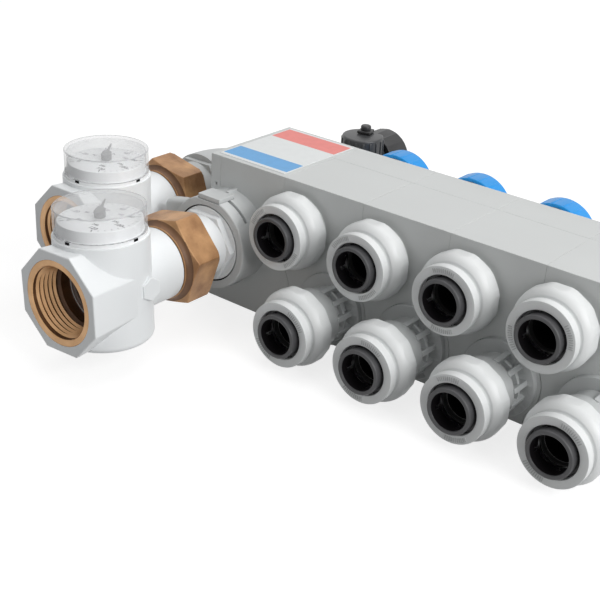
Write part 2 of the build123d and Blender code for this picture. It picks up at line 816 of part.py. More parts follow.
def rear_elbow():
    """Elbow from the rear union into the rear bar's left end, modelled in the part's own frame."""
    start_y = rear_tee_y - collar_length
    bend_y = rear_bar_y - elbow_bend_r
    bend_x = rear_tee_x + elbow_bend_r
    start = outward(rear_tee_x, tee_z, start_y)
    run = along_row(bend_x, rear_bar_y, tee_z)
    reach = left_x - bend_x
    axis = Axis((bend_x, bend_y, tee_z), (0, 0, -1))

    def shell(radius):
        circle = outward(rear_tee_x, tee_z, bend_y) * Circle(radius)
        bend = revolve(circle, axis, 90)
        return bend + start * rod(radius, start_y - bend_y, 0) + run * rod(radius, 0, reach)

    body = shell(tail_spigot_r) - shell(tee_bore_r)
    body += run * rod(elbow_shoulder_r, reach - elbow_shoulder_length, reach)
    body += run * rod(collar_spigot_r, reach, reach + elbow_spigot_length)
    body -= run * rod(collar_way_r, reach - elbow_shoulder_length - 1, reach + elbow_spigot_length + 1)
    return body - start * rod(rear_tail_r + joint_gap, -rear_tail_length - joint_gap, 1)


# Gauge pieces stand on the tee's body

def gauge_base():
    """White drum with the dial on its top and a foot flange for the clear cover."""
    body = rod(gauge_r, body_top, cover_foot) + rod(dial_r, body_top, dial_height)
    for k in range(cover_notches):
        notch = block(gauge_r - 1.2, gauge_r + 1, -cover_notch_width / 2, cover_notch_width / 2,
                      cover_foot - cover_notch_height, cover_foot + 1)
        body -= Rot(0, 0, cover_notch_first + k * 360 / cover_notches) * notch
    body += rod(pin_r, dial_height - 1, pointer_height + pointer_thickness)
    return body + rod(pocket_r - 0.1, pocket_foot, body_top + 1)


def clear_cover():
    body = rod(gauge_r, cover_foot, gauge_top)
    body = fillet(body.edges().group_by(Axis.Z)[-1], 0.8)
    return body - rod(gauge_r - cover_wall, cover_foot - 1, gauge_top - cover_roof)


def pointer():
    low = pointer_height
    high = low + pointer_thickness
    half = pointer_width / 2
    blade = Polyline((-pointer_tail, half), (0, half), (pointer_length, 0), (0, -half),
                     (-pointer_tail, -half), close=True)
    body = Pos(0, 0, low) * extrude(make_face(blade), pointer_thickness)
    body += rod(pointer_hub_r, high - pointer_hub_height, high)
    body -= rod(pin_r + 0.05, low - pointer_hub_height, high + 1)
    return Rot(0, 0, pointer_direction) * body


# Write every piece

def place_outlets(name, shape):
    """One node for each outlet: the upper row, then the lower row."""
    for k in range(module_count):
        upper = outward(module_starts[k] + upper_outlet_x, upper_z, front_y - upper_outlet_reach)
        lower = outward(module_starts[k] + lower_outlet_x, lower_z, front_y - lower_outlet_reach)
        write(f"{name}_upper_{k + 1}", upper * shape)
        write(f"{name}_lower_{k + 1}", lower * shape)


def in_every_outlet(shape):
    """Copies in all outlets, for a node that holds them together."""
    copies = []
    for start in module_starts:
        for x, z, reach in ((upper_outlet_x, upper_z, upper_outlet_reach),
                            (lower_outlet_x, lower_z, lower_outlet_reach)):
            copies.append(outward(start + x, z, front_y - reach) * shape)
    return copies


def write_tee(side, run, turned_run, nut_corner):
    """All pieces of one gauge tee, on its run's frame and on the frame turned with its body."""
    write(f"{side}_tee_body", turned_run * tee_body())
    write(f"{side}_gauge_base", turned_run * upright(gauge_base()))
    write(f"{side}_gauge_cover", turned_run * upright(clear_cover()))
    write(f"{side}_gauge_pointer", turned_run * upright(pointer()))
    write(f"{side}_union_nut", run * union_nut(nut_corner))


def group(shapes):
    return [solid for shape in shapes for solid in shape.solids()]


os.makedirs("parts", exist_ok=True)
write("front_end_block", front_end_block())
write("rear_end_block", rear_end_block())
write("left_end_plate", left_end_plate())
write("right_end_plate", right_end_plate())
for k in range(module_count):
    write(f"front_module_{k + 1}", front_module(k))
    write(f"rear_module_{k + 1}", rear_module(k))
    cap_place = backward(module_starts[k] + upper_outlet_x, upper_z)
    write(f"hand_cap_{k + 1}", cap_place * hand_cap())
write("tie_rods", group(tie_rods()))
write("tie_rod_nuts", group(tie_rod_nuts()))
write("lower_stems", group([outward(x + lower_outlet_x, lower_z) * lower_stem() for x in module_starts]))
write("label_plate", label_plate())
write("valve_inserts", group([backward(x + upper_outlet_x, upper_z) * valve_insert() for x in module_starts]))
place_outlets("outlet_cap", outlet_cap())
place_outlets("collet", collet())
write("grip_rings", group(in_every_outlet(grip_ring())))

drain_place = backward(left_x + drain_x, block_height - drain_drop)
write("drain_body", drain_place * drain_body())
write("drain_knob", drain_place * drain_knob())
write("drain_cap", drain_place * drain_cap())

front_run = outward(front_tee_x, tee_z)
rear_run = outward(rear_tee_x, tee_z, rear_tee_y)
front_turned = front_run * Rot(0, 0, front_tee_turn)
rear_turned = rear_run * Rot(0, 0, rear_tee_turn)
write_tee("front", front_run, front_turned, front_nut_corner)
write_tee("rear", rear_run, rear_turned, rear_nut_corner)
write("thread_inserts", group(
    [run * insert for run in (front_turned, rear_turned) for insert in (mouth_insert(), union_insert())]))
write("seals", group(
    channel_seals() + in_every_outlet(pipe_seal()) + [run * union_seal() for run in (front_run, rear_run)]))
write("front_tailpiece", front_run * tailpiece(True))
write("rear_tailpiece", rear_run * tailpiece(False))
write("front_collar", front_run * collar())
write("locking_clip", front_run * locking_clip())
write("rear_elbow", rear_elbow())
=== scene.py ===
import json
from math import atan2, cos, hypot, pi, radians, sin

import bmesh
import bpy
from mathutils import Matrix, Vector


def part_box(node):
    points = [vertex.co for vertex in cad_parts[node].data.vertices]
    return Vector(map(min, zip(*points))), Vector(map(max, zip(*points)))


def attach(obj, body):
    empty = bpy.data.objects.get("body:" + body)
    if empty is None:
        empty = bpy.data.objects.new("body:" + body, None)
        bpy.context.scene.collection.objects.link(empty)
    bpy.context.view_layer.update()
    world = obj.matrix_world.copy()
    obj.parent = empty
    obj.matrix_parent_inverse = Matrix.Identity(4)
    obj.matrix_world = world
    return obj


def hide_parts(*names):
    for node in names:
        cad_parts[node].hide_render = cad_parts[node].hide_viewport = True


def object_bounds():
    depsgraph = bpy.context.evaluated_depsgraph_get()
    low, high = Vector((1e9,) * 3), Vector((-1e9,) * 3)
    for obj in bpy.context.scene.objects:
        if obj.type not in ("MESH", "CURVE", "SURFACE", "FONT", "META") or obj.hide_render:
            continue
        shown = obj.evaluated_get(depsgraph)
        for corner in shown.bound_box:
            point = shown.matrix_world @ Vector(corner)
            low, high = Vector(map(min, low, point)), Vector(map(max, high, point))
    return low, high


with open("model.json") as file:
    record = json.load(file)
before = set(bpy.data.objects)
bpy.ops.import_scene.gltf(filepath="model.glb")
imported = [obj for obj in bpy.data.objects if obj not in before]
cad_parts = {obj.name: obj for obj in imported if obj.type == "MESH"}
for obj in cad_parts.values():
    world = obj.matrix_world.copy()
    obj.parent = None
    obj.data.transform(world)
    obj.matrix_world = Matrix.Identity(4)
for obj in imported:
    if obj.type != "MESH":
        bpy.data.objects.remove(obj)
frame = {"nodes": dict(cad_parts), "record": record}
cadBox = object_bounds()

# Plastic heating manifold. Every piece is modelled in millimetres round its own axis and
# then settled, in metres, where the solid that it stands for is.

scene = bpy.context.scene
nodes = frame["nodes"]


class Look(dict):
    # A piece's settings, read by name.
    __getattr__ = dict.__getitem__


# Mesh helpers

def meshObject(name, mesh):
    piece = bpy.data.objects.new(name, mesh)
    scene.collection.objects.link(piece)
    return piece


def fromBmesh(name, bm):
    bmesh.ops.remove_doubles(bm, verts=bm.verts, dist=1e-4)
    bmesh.ops.recalc_face_normals(bm, faces=bm.faces)
    mesh = bpy.data.meshes.new(name)
    bm.to_mesh(mesh)
    bm.free()
    return meshObject(name, mesh)


def turnedPiece(name, outline, segments=128, closed=False):
    # Turns (radius, height) points about Z; a closed outline makes a ring.
    bm = bmesh.new()
    rows = []
    for radius, height in outline:
        if radius < 1e-6:
            rows.append([bm.verts.new((0, 0, height))])
            continue
        rows.append([bm.verts.new((radius * cos(2 * pi * i / segments), radius * sin(2 * pi * i / segments), height))
                     for i in range(segments)])
    pairs = list(zip(rows, rows[1:]))
    if closed:
        pairs.append((rows[-1], rows[0]))
    for low, high in pairs:
        for i in range(segments):
            j = i + 1
            ring = [low[i % len(low)], low[j % len(low)], high[j % len(high)], high[i % len(high)]]
            corners = list(dict.fromkeys(ring))
            if len(corners) > 2:
                bm.faces.new(corners)
    return fromBmesh(name, bm)


def prismPiece(name, across, sides, corner, low, high, topAcross=None):
    # Regular prism with one corner at the given angle in degrees; it may taper.
    bm = bmesh.new()
    rings = []
    for height, width in ((low, across), (high, topAcross or across)):
        reach = width / 2 / cos(pi / sides)
        rings.append([bm.verts.new((reach * cos(radians(corner) + 2 * pi * i / sides),
                                    reach * sin(radians(corner) + 2 * pi * i / sides), height))
                      for i in range(sides)])
    bm.faces.new(rings[0])
    bm.faces.new(rings[1])
    for i in range(sides):
        j = (i + 1) % sides
        bm.faces.new((rings[0][i], rings[0][j], rings[1][j], rings[1][i]))
    return fromBmesh(name, bm)


def boxPiece(name, low, high):
    bm = bmesh.new()
    bmesh.ops.create_cube(bm, size=1)
    for vert in bm.verts:
        vert.co = Vector([low[i] + (vert.co[i] + 0.5) * (high[i] - low[i]) for i in range(3)])
    return fromBmesh(name, bm)


def extrudedPiece(name, points, low, high):
    # Flat outline in XY, given a thickness along Z.
    bm = bmesh.new()
    bottom = [bm.verts.new((x, y, low)) for x, y in points]
    topRow = [bm.verts.new((x, y, high)) for x, y in points]
    bm.faces.new(bottom)
    bm.faces.new(topRow)
    for i in range(len(points)):
        j = (i + 1) % len(points)
        bm.faces.new((bottom[i], bottom[j], topRow[j], topRow[i]))
    return fromBmesh(name, bm)


def cornerRound(x, y, radius, fromAngle, toAngle, steps=5):
    # Points on a round corner about (x, y), angles in degrees.
    angles = [radians(fromAngle + (toAngle - fromAngle) * i / steps) for i in range(steps + 1)]
    return [(x + radius * cos(a), y + radius * sin(a)) for a in angles]


def roundFoot(radius, height, edge, steps=5):
    return cornerRound(radius - edge, height + edge, edge, -90, 0, steps)


def roundTop(radius, height, edge, steps=5):
    return cornerRound(radius - edge, height - edge, edge, 0, 90, steps)


def rodPiece(name, radius, low, high, edge=0.0, segments=96):
    side = roundFoot(radius, low, edge) + roundTop(radius, high, edge) if edge else [(radius, low), (radius, high)]
    return turnedPiece(name, [(0, low)] + side + [(0, high)], segments)


def ringPiece(name, outer, inner, low, high, edge=0.25, segments=112):
    outline = [(inner, low)] + roundFoot(outer, low, edge) + roundTop(outer, high, edge) + [(inner, high)]
    return turnedPiece(name, outline, segments, closed=True)


def flareArc(start, end, steps=16):
    # Arc that leaves the start along the axis and runs to the end.
    across, along = end[0] - start[0], end[1] - start[1]
    radius = (across * across + along * along) / (2 * abs(across))
    sweep = atan2(abs(along), radius - abs(across))
    sideways = 1 if across > 0 else -1
    onwards = 1 if along > 0 else -1
    return [(start[0] + sideways * radius * (1 - cos(sweep * i / steps)),
             start[1] + onwards * radius * sin(sweep * i / steps)) for i in range(steps + 1)]


def bake(piece):
    # Modifiers become plain mesh.
    bpy.context.view_layer.update()
    graph = bpy.context.evaluated_depsgraph_get()
    mesh = bpy.data.meshes.new_from_object(piece.evaluated_get(graph), depsgraph=graph)
    piece.modifiers.clear()
    piece.data = mesh
    return piece


def combine(piece, tool, operation):
    # UNION, DIFFERENCE or INTERSECT of two closed pieces; the tool is used up.
    modifier = piece.modifiers.new(operation, "BOOLEAN")
    modifier.operation = operation
    modifier.solver = "EXACT"
    modifier.object = tool
    bake(piece)
    bpy.data.objects.remove(tool)
    return piece


def joined(pieces, name):
    # One mesh of several pieces, their shapes unchanged.
    bm = bmesh.new()
    for piece in pieces:
        bm.from_mesh(piece.data)
        bpy.data.objects.remove(piece)
    mesh = bpy.data.meshes.new(name)
    bm.to_mesh(mesh)
    bm.free()
    return meshObject(name, mesh)


def softened(piece, width, angle=30, segments=2, wornSlot=-1):
    # Rounds sharp edges a little, so that they catch the light.
    bevel = piece.modifiers.new("softEdges", "BEVEL")
    bevel.width = width
    bevel.segments = segments
    bevel.limit_method = "ANGLE"
    bevel.angle_limit = radians(angle)
    bevel.use_clamp_overlap = False
    bevel.material = wornSlot
    return bake(piece)


def smooth(piece, angle=12):
    piece.data.shade_smooth()
    piece.data.set_sharp_from_angle(angle=radians(angle))
    return piece


def copyOf(piece, name):
    return meshObject(name, piece.data.copy())


def moved(piece, matrix):
    piece.data.transform(matrix)
    return piece


# Places, in millimetres

def facingFront(x, y, z, turn=0.0):
    # Own Z out of the front, own Y up.
    place = Matrix(((1, 0, 0, x), (0, 0, -1, y), (0, 1, 0, z), (0, 0, 0, 1)))
    return place @ Matrix.Rotation(radians(turn), 4, "Z")


def facingBack(x, y, z):
    # Own Z out of the back, own Y up.
    return Matrix(((-1, 0, 0, x), (0, 0, 1, y), (0, 1, 0, z), (0, 0, 0, 1)))


def boxOf(node):
    low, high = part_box(node)
    return low * 1000, high * 1000


def middleOf(node):
    low, high = boxOf(node)
    return (low + high) / 2


def bodyOf(node):
    bodies = frame["record"]["behaviour"]["bodies"]
    return next(body for body, members in bodies.items() if node in members)


def frontPlace(node, forward=0.0):
    # On the axis of a node that faces the front, at its foremost point.
    low, high = boxOf(node)
    return facingFront((low.x + high.x) / 2, low.y + forward, (low.z + high.z) / 2)


def backPlace(node):
    low, high = boxOf(node)
    return facingBack((low.x + high.x) / 2, low.y, (low.z + high.z) / 2)


def finishFaces(piece, chosen, slot=1):
    # Gives the faces that the test picks, from their distance to own Z and their middle, a finish of their own.
    for face in piece.data.polygons:
        if chosen(hypot(face.center.x, face.center.y), face.center):
            face.material_index = slot


def settle(piece, place, body, materials, slotName, *stoodFor):
    # Puts a piece made in millimetres in place, with its body, finish and the solids it stands for.
    piece.data.transform(Matrix.Scale(0.001, 4) @ place)
    indices = [face.material_index for face in piece.data.polygons]
    piece.data.materials.clear()
    for material in materials:
        piece.data.materials.append(material)
    for face, index in zip(piece.data.polygons, indices):
        face.material_index = min(index, len(materials) - 1)
    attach(piece, body)
    if stoodFor:
        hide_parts(*stoodFor)
    return piece


def stand(piece, node, materials, slotName, place=Matrix.Identity(4)):
    # A piece that stands for one node and moves with it.
    return settle(piece, place, bodyOf(node), materials, slotName, node)


# Camera at the photograph's angle, measured from the block's front top left corner

plateLow, plateHigh = boxOf("left_end_plate")
view = Look({
    "fromCorner": (368.5, -404.6, 191.5), "azimuth": -0.6543, "pitch": 0.4552, "roll": 0.0588,
    "lens": 72.18, "sensor": 36.0, "near": 0.01,
})
ahead = Vector((sin(view.azimuth) * cos(view.pitch), cos(view.azimuth) * cos(view.pitch), -sin(view.pitch)))
level = ahead.cross(Vector((0, 0, 1))).normalized()
steep = level.cross(ahead)
camRight = cos(view.roll) * level + sin(view.roll) * steep
camUp = -sin(view.roll) * level + cos(view.roll) * steep
cameraData = bpy.data.cameras.new("camera")
cameraData.lens = view.lens
cameraData.sensor_width = view.sensor
cameraData.clip_start = view.near
camera = bpy.data.objects.new("camera", cameraData)
scene.collection.objects.link(camera)
cornerPoint = Vector((plateLow.x, plateLow.y, plateHigh.z))
cameraPlace = (cornerPoint + Vector(view.fromCorner)) * 0.001
camera.matrix_world = Matrix.Translation(cameraPlace) @ Matrix((camRight, camUp, -ahead)).transposed().to_4x4()
scene.camera = camera
print("camera placed")


# Node helpers

def addSocket(tree, name, kind, inOut, value=None):
    made = tree.interface.new_socket(name=name, in_out=inOut, socket_type="NodeSocket" + kind)
    if value is not None:
        made.default_value = value


def setInputs(node, inputs):
    # Sockets are linked and plain values are set.
    for key, value in inputs.items():
        if isinstance(value, bpy.types.NodeSocket):
            node.id_data.links.new(value, node.inputs[key])
        else:
            node.inputs[key].default_value = value


def maker(tree):
    # Makes a node of this tree, with its settings first and then its inputs.
    def make(kind, inputs=None, **settings):
        node = tree.nodes.new(kind)
        for key, value in settings.items():
            setattr(node, key, value)
        setInputs(node, inputs or {})
        return node
    return make


def newTree(name, kind, inputs, outputs):
    # A node tree with named inputs and outputs, its maker and the inputs' sockets.
    tree = bpy.data.node_groups.new(name, kind)
    for key, socketKind in outputs:
        addSocket(tree, key, socketKind, "OUTPUT")
    for key, socketKind, value in inputs:
        addSocket(tree, key, socketKind, "INPUT", value)
    make = maker(tree)
    return tree, make, make("NodeGroupInput").outputs


def worked(make, operation, *values):
    return make("ShaderNodeMath", dict(enumerate(values)), operation=operation).outputs[0]


def noise(make, where, scale, detail, roughness=0.5):
    return make("ShaderNodeTexNoise", {"Vector": where, "Scale": scale, "Detail": detail,
                                       "Roughness": roughness}).outputs["Fac"]


def bumped(make, height, strength, distance, **more):
    return make("ShaderNodeBump", {"Height": height, "Strength": strength, "Distance": distance,
                                   **more}).outputs["Normal"]


def ranged(make, value, toLow, toHigh, fromLow=0.0, fromHigh=1.0):
    return make("ShaderNodeMapRange", {"Value": value, "From Min": fromLow, "From Max": fromHigh,
                                       "To Min": toLow, "To Max": toHigh}).outputs["Result"]


def twoTone(make, mask, low, high, start, end):
    ramp = make("ShaderNodeValToRGB", {"Fac": mask})
    for stop, position, colour in zip(ramp.color_ramp.elements, (start, end), (low, high)):
        stop.position = position
        stop.color = (*colour, 1)
    return ramp.outputs["Color"]


# Shader groups

def mouldedGroup():
    # Fine moulded grain over slow waves: a normal, a shade mask and a gloss mask.
    tree, make, given = newTree(
        "mouldedSkin", "ShaderNodeTree",
        (("Grain Scale", "Float", 2500.0), ("Grain Depth", "Float", 0.1), ("Wave Depth", "Float", 0.05)),
        (("Normal", "Vector"), ("Shade", "Float"), ("Gloss", "Float")))
    where = make("ShaderNodeTexCoord").outputs["Object"]
    grain = noise(make, where, given["Grain Scale"], 3)
    fine = bumped(make, grain, given["Grain Depth"], 0.0001)
    slow = bumped(make, noise(make, where, 60, 2), given["Wave Depth"], 0.0006, Normal=fine)
    make("NodeGroupOutput", {"Normal": slow, "Shade": noise(make, where, 22, 4), "Gloss": grain})
    return tree


def castGroup():
    # Cast metal: a pitted normal, a patina mask and a mask of the pits.
    tree, make, given = newTree(
        "castSkin", "ShaderNodeTree",
        (("Grain Scale", "Float", 900.0), ("Depth", "Float", 0.4)),
        (("Normal", "Vector"), ("Patina", "Float"), ("Pits", "Float")))
    where = make("ShaderNodeTexCoord").outputs["Object"]
    grain = noise(make, where, given["Grain Scale"], 5, 0.65)
    pits = make("ShaderNodeTexVoronoi", {"Vector": where, "Scale": 420}).outputs["Distance"]
    pitMask = ranged(make, pits, 0.0, 1.0, 0.04, 0.12)
    normal = bumped(make, worked(make, "MULTIPLY_ADD", pitMask, 0.35, grain), given["Depth"], 0.00025)
    make("NodeGroupOutput", {"Normal": normal, "Patina": noise(make, where, 85, 6), "Pits": pitMask})
    return tree


mouldedSkin = mouldedGroup()
castSkin = castGroup()


def newMaterial(name):
    material = bpy.data.materials.new(name)
    material.use_nodes = True
    return material, material.node_tree.nodes["Principled BSDF"], maker(material.node_tree)


def plastic(name, colour, roughness, grain=0.12, wave=0.04, spread=0.04, shine=0.5):
    # Moulded plastic with a slow change of shade and a fine grain.
    material, surface, make = newMaterial(name)
    skin = make("ShaderNodeGroup", {"Grain Depth": grain, "Wave Depth": wave}, node_tree=mouldedSkin).outputs
    tones = [[min(1, c * (1 + shift)) for c in colour] for shift in (-spread, spread)]
    setInputs(surface, {
        "Base Color": twoTone(make, skin["Shade"], *tones, 0.3, 0.7),
        "Roughness": ranged(make, skin["Gloss"], roughness - 0.05, roughness + 0.05),
        "Normal": skin["Normal"], "Specular IOR Level": shine})
    return material


def metal(name, darkTone, lightTone, roughness, depth, metallic=1.0):
    # Cast or cut metal, duller in its pits.
    material, surface, make = newMaterial(name)
    skin = make("ShaderNodeGroup", {"Depth": depth}, node_tree=castSkin).outputs
    setInputs(surface, {
        "Base Color": twoTone(make, skin["Patina"], darkTone, lightTone, 0.35, 0.68),
        "Roughness": ranged(make, skin["Pits"], roughness + 0.12, roughness),
        "Normal": skin["Normal"], "Metallic": metallic})
    return material


def clearMoulding(name, colour, least, most):
    # Thin clear plastic, denser where it is seen edge on, that casts no shadow.
    material, surface, make = newMaterial(name)
    skin = make("ShaderNodeGroup", {"Grain Depth": 0.0, "Wave Depth": 0.03}, node_tree=mouldedSkin).outputs
    edgeOn = make("ShaderNodeLayerWeight", {"Blend": 0.35}).outputs["Facing"]
    lit = worked(make, "SUBTRACT", 1.0, make("ShaderNodeLightPath").outputs["Is Shadow Ray"])
    setInputs(surface, {
        "Base Color": (*colour, 1), "Roughness": 0.08, "Normal": skin["Normal"],
        "Alpha": worked(make, "MULTIPLY", ranged(make, edgeOn, least, most), lit)})
    return material


blockPlastic = plastic("blockPlastic", (0.60, 0.615, 0.61), 0.55, 0.10, 0.02, 0.02)
# Near-black with little gloss: painted shade inside sockets, bores and notches, partly the sockets' real dark inner
# parts.
recessShadePlastic = plastic("recessShadePlastic", (0.008, 0.007, 0.008), 0.7, 0.1, 0.02, 0.1, 0.05)
# Darker grey on the ring's embossed ticks: painted shade standing in for the shade of their relief.
tickShadePlastic = plastic("tickShadePlastic", (0.50, 0.51, 0.51), 0.5, 0.05, 0.05, 0.03)
capPlastic = plastic("capPlastic", (0.72, 0.735, 0.735), 0.42, 0.05, 0.05, 0.02)
stemPlastic = plastic("stemPlastic", (0.52, 0.535, 0.535), 0.45, 0.05, 0.04, 0.03)
collarPlastic = plastic("collarPlastic", (0.56, 0.575, 0.575), 0.42, 0.05, 0.04, 0.03)
whitePlastic = plastic("whitePlastic", (0.80, 0.82, 0.83), 0.38, 0.04, 0.03, 0.015)
dialPlastic = plastic("dialPlastic", (0.90, 0.91, 0.92), 0.5, 0.02, 0.0, 0.01)
colletPlastic = plastic("colletPlastic", (0.055, 0.055, 0.058), 0.42, 0.25, 0.05, 0.1)
bluePlastic = plastic("bluePlastic", (0.0, 0.27, 0.70), 0.35, 0.04, 0.03, 0.03)
blackPlastic = plastic("blackPlastic", (0.016, 0.016, 0.017), 0.38, 0.2, 0.05, 0.15)
drainPlastic = plastic("drainPlastic", (0.035, 0.036, 0.038), 0.35, 0.2, 0.05, 0.15)
insertPlastic = plastic("insertPlastic", (0.60, 0.61, 0.60), 0.45, 0.05, 0.03, 0.03)
printInk = plastic("printInk", (0.11, 0.11, 0.12), 0.5, 0.02, 0.0, 0.05)
sealRubber = plastic("sealRubber", (0.015, 0.015, 0.015), 0.7, 0.2, 0.05, 0.1)
pointerPaint = plastic("pointerPaint", (0.17, 0.17, 0.17), 0.4, 0.02, 0.0, 0.05)
castBrass = metal("castBrass", (0.27, 0.130, 0.052), (0.56, 0.315, 0.145), 0.42, 0.7, 0.3)
cutBrass = metal("cutBrass", (0.56, 0.315, 0.14), (0.74, 0.45, 0.23), 0.30, 0.10, 0.45)
wornBrass = metal("wornBrass", (0.74, 0.47, 0.24), (0.92, 0.66, 0.38), 0.35, 0.05, 0.2)
# Dark brass: painted shade in the thread's valleys and on the nut's recessed front face.
paintedShadeBrass = metal("paintedShadeBrass", (0.09, 0.040, 0.016), (0.19, 0.090, 0.038), 0.5, 0.4, 0.15)
# Brownish grey: painted shade with a painted brass reflection on the white plastic inside the tee's bore.
boreShadeAndReflection = plastic("boreShadeAndReflection", (0.17, 0.125, 0.105), 0.45, 0.05, 0.03, 0.05)
steelMetal = metal("steelMetal", (0.45, 0.45, 0.46), (0.6, 0.6, 0.6), 0.3, 0.1)
clearPlastic = clearMoulding("clearPlastic", (0.62, 0.63, 0.64), 0.07, 0.50)
# Darker and denser on the cover's rims: a painted grey line standing in for the light that the rims bend.
clearPaintedRim = clearMoulding("clearPaintedRim", (0.40, 0.41, 0.42), 0.5, 0.75)
print("materials made")


# Geometry Nodes trees

def growingTree(name, inputs):
    inputs += (("Material", "Material", None),)
    return newTree(name, "GeometryNodeTree", inputs, (("Geometry", "Geometry"),))


def finishTree(make, given, geometry):
    # Every tree ends in real geometry with its material.
    real = make("GeometryNodeRealizeInstances", {"Geometry": geometry}).outputs["Geometry"]
    finished = make("GeometryNodeSetMaterial", {"Geometry": real, "Material": given["Material"]})
    make("NodeGroupOutput", {"Geometry": finished.outputs["Geometry"]})


def arcOfBarsTree():
    # Bars in a row round an axis: ribs, grip ribs and the ticks of a scale.
    tree, make, given = growingTree("arcOfBars", (
        ("Count", "Int", 6), ("First Angle", "Float", 0.0), ("Step Angle", "Float", 0.5), ("Radius", "Float", 10.0),
        ("Middle Height", "Float", 0.0), ("Bar Size", "Vector", None)))
    index = make("GeometryNodeInputIndex").outputs["Index"]
    angle = worked(make, "MULTIPLY_ADD", index, given["Step Angle"], given["First Angle"])
    x, y = [worked(make, "MULTIPLY", worked(make, side, angle), given["Radius"]) for side in ("COSINE", "SINE")]
    place = make("ShaderNodeCombineXYZ", {"X": x, "Y": y, "Z": given["Middle Height"]}).outputs["Vector"]
    turn = make("ShaderNodeCombineXYZ", {"Z": angle}).outputs["Vector"]
    bars = make("GeometryNodeInstanceOnPoints", {
        "Points": make("GeometryNodePoints", {"Count": given["Count"], "Position": place}).outputs[0],
        "Instance": make("GeometryNodeMeshCube", {"Size": given["Bar Size"]}).outputs["Mesh"],
        "Rotation": make("FunctionNodeEulerToRotation", {0: turn}).outputs[0]})
    finishTree(make, given, bars.outputs["Instances"])
    return tree


def screwThreadTree():
    # A pointed ridge on a helix; half of it is sunk in the wall that it stands on.
    tree, make, given = growingTree("screwThread", (
        ("Radius", "Float", 16.0), ("Pitch", "Float", 2.31), ("Turns", "Float", 5.0), ("Ridge Radius", "Float", 1.1),
        ("Start Height", "Float", 0.0)))
    helix = make("GeometryNodeCurveSpiral", {
        "Resolution": 96, "Rotations": given["Turns"], "Start Radius": given["Radius"],
        "End Radius": given["Radius"], "Height": worked(make, "MULTIPLY", given["Pitch"], given["Turns"])})
    upright = make("GeometryNodeSetCurveNormal", {"Curve": helix.outputs["Curve"]}, mode="Z_UP")
    ridge = make("GeometryNodeCurvePrimitiveCircle", {"Resolution": 4, "Radius": given["Ridge Radius"]})
    sweep = make("GeometryNodeCurveToMesh", {
        "Curve": upright.outputs["Curve"], "Profile Curve": ridge.outputs["Curve"], "Fill Caps": True})
    lift = make("ShaderNodeCombineXYZ", {"Z": given["Start Height"]}).outputs["Vector"]
    raised = make("GeometryNodeTransform", {"Geometry": sweep.outputs["Mesh"], "Translation": lift})
    finishTree(make, given, raised.outputs["Geometry"])
    return tree


def grown(name, tree, values):
    # Plain mesh from a tree with these named inputs.
    piece = meshObject(name, bpy.data.meshes.new(name))
    modifier = piece.modifiers.new("grow", "NODES")
    modifier.node_group = tree
    sockets = {item.name: item.identifier for item in tree.interface.items_tree if item.in_out == "INPUT"}
    for key, value in values.items():
        modifier[sockets[key]] = value
    bake(piece)
    bm = bmesh.new()
    bm.from_mesh(piece.data)
    bmesh.ops.remove_doubles(bm, verts=bm.verts, dist=1e-4)
    bmesh.ops.recalc_face_normals(bm, faces=bm.faces)
    bm.to_mesh(piece.data)
    bm.free()
    for face in piece.data.polygons:
        face.material_index = 0
    return piece


arcOfBars = arcOfBarsTree()
screwThread = screwThreadTree()


def barsRound(name, count, first, step, radius, height, size, material):
    # Angles in degrees; size is out from the axis, along the circle and along the axis.
    return grown(name, arcOfBars, {
        "Count": count, "First Angle": radians(first), "Step Angle": radians(step), "Radius": radius,
        "Middle Height": height, "Bar Size": size, "Material": material})


print("node trees made")


# Block pieces: copies of the solids with eased edges, so that each seam is a fine groove

blockLook = Look({"edge": 0.28, "labelEdge": 0.12, "clipEdge": 0.3, "edgeAngle": 32, "smoothAngle": 30, "socketR": 8.6})
outlets = [f"{row}_{k}" for row in ("upper", "lower") for k in range(1, 5)]
outletMiddles = [middleOf("outlet_cap_" + outlet) for outlet in outlets]


def easedCopy(node, edge):
    # Copy of a node in millimetres, merged, with its flat faces whole and its edges eased.
    bm = bmesh.new()
    bm.from_mesh(nodes[node].data)
    bmesh.ops.scale(bm, vec=(1000, 1000, 1000), verts=bm.verts)
    bmesh.ops.remove_doubles(bm, verts=bm.verts, dist=0.002)
    bmesh.ops.dissolve_limit(bm, angle_limit=radians(0.6), verts=bm.verts, edges=bm.edges)
    mesh = bpy.data.meshes.new(node + "_eased")
    bm.to_mesh(mesh)
    bm.free()
    piece = meshObject(node + "_eased", mesh)
    softened(piece, edge, blockLook.edgeAngle)
    smooth(piece, blockLook.smoothAngle)
    weighted = piece.modifiers.new("flatFaces", "WEIGHTED_NORMAL")
    weighted.keep_sharp = True
    return bake(piece)


def paintSocketShade(piece):
    # Paints shade inside the pipe sockets: their faces take the near-black finish.
    finishFaces(piece, lambda reach, middle: any(
        hypot(middle.x - outlet.x, middle.z - outlet.z) < blockLook.socketR for outlet in outletMiddles))


blockNodes = ["front_end_block", "rear_end_block", "left_end_plate", "right_end_plate"]
blockNodes += [f"{side}_module_{k}" for side in ("front", "rear") for k in range(1, 5)]
for node in blockNodes:
    piece = easedCopy(node, blockLook.edge)
    if node.startswith("front_module"):
        paintSocketShade(piece)
    stand(piece, node, [blockPlastic, recessShadePlastic], "block_plastic")
print("block pieces eased")


# Label: a white film with a blue and a red field

labelLook = {
    "border": 0.5, "blueDepth": (2.2, 14.6), "redDepth": (38.0, 52.0),
    "film": (0.74, 0.76, 0.76), "blue": (0.10, 0.36, 0.70), "red": (0.80, 0.21, 0.185),
}


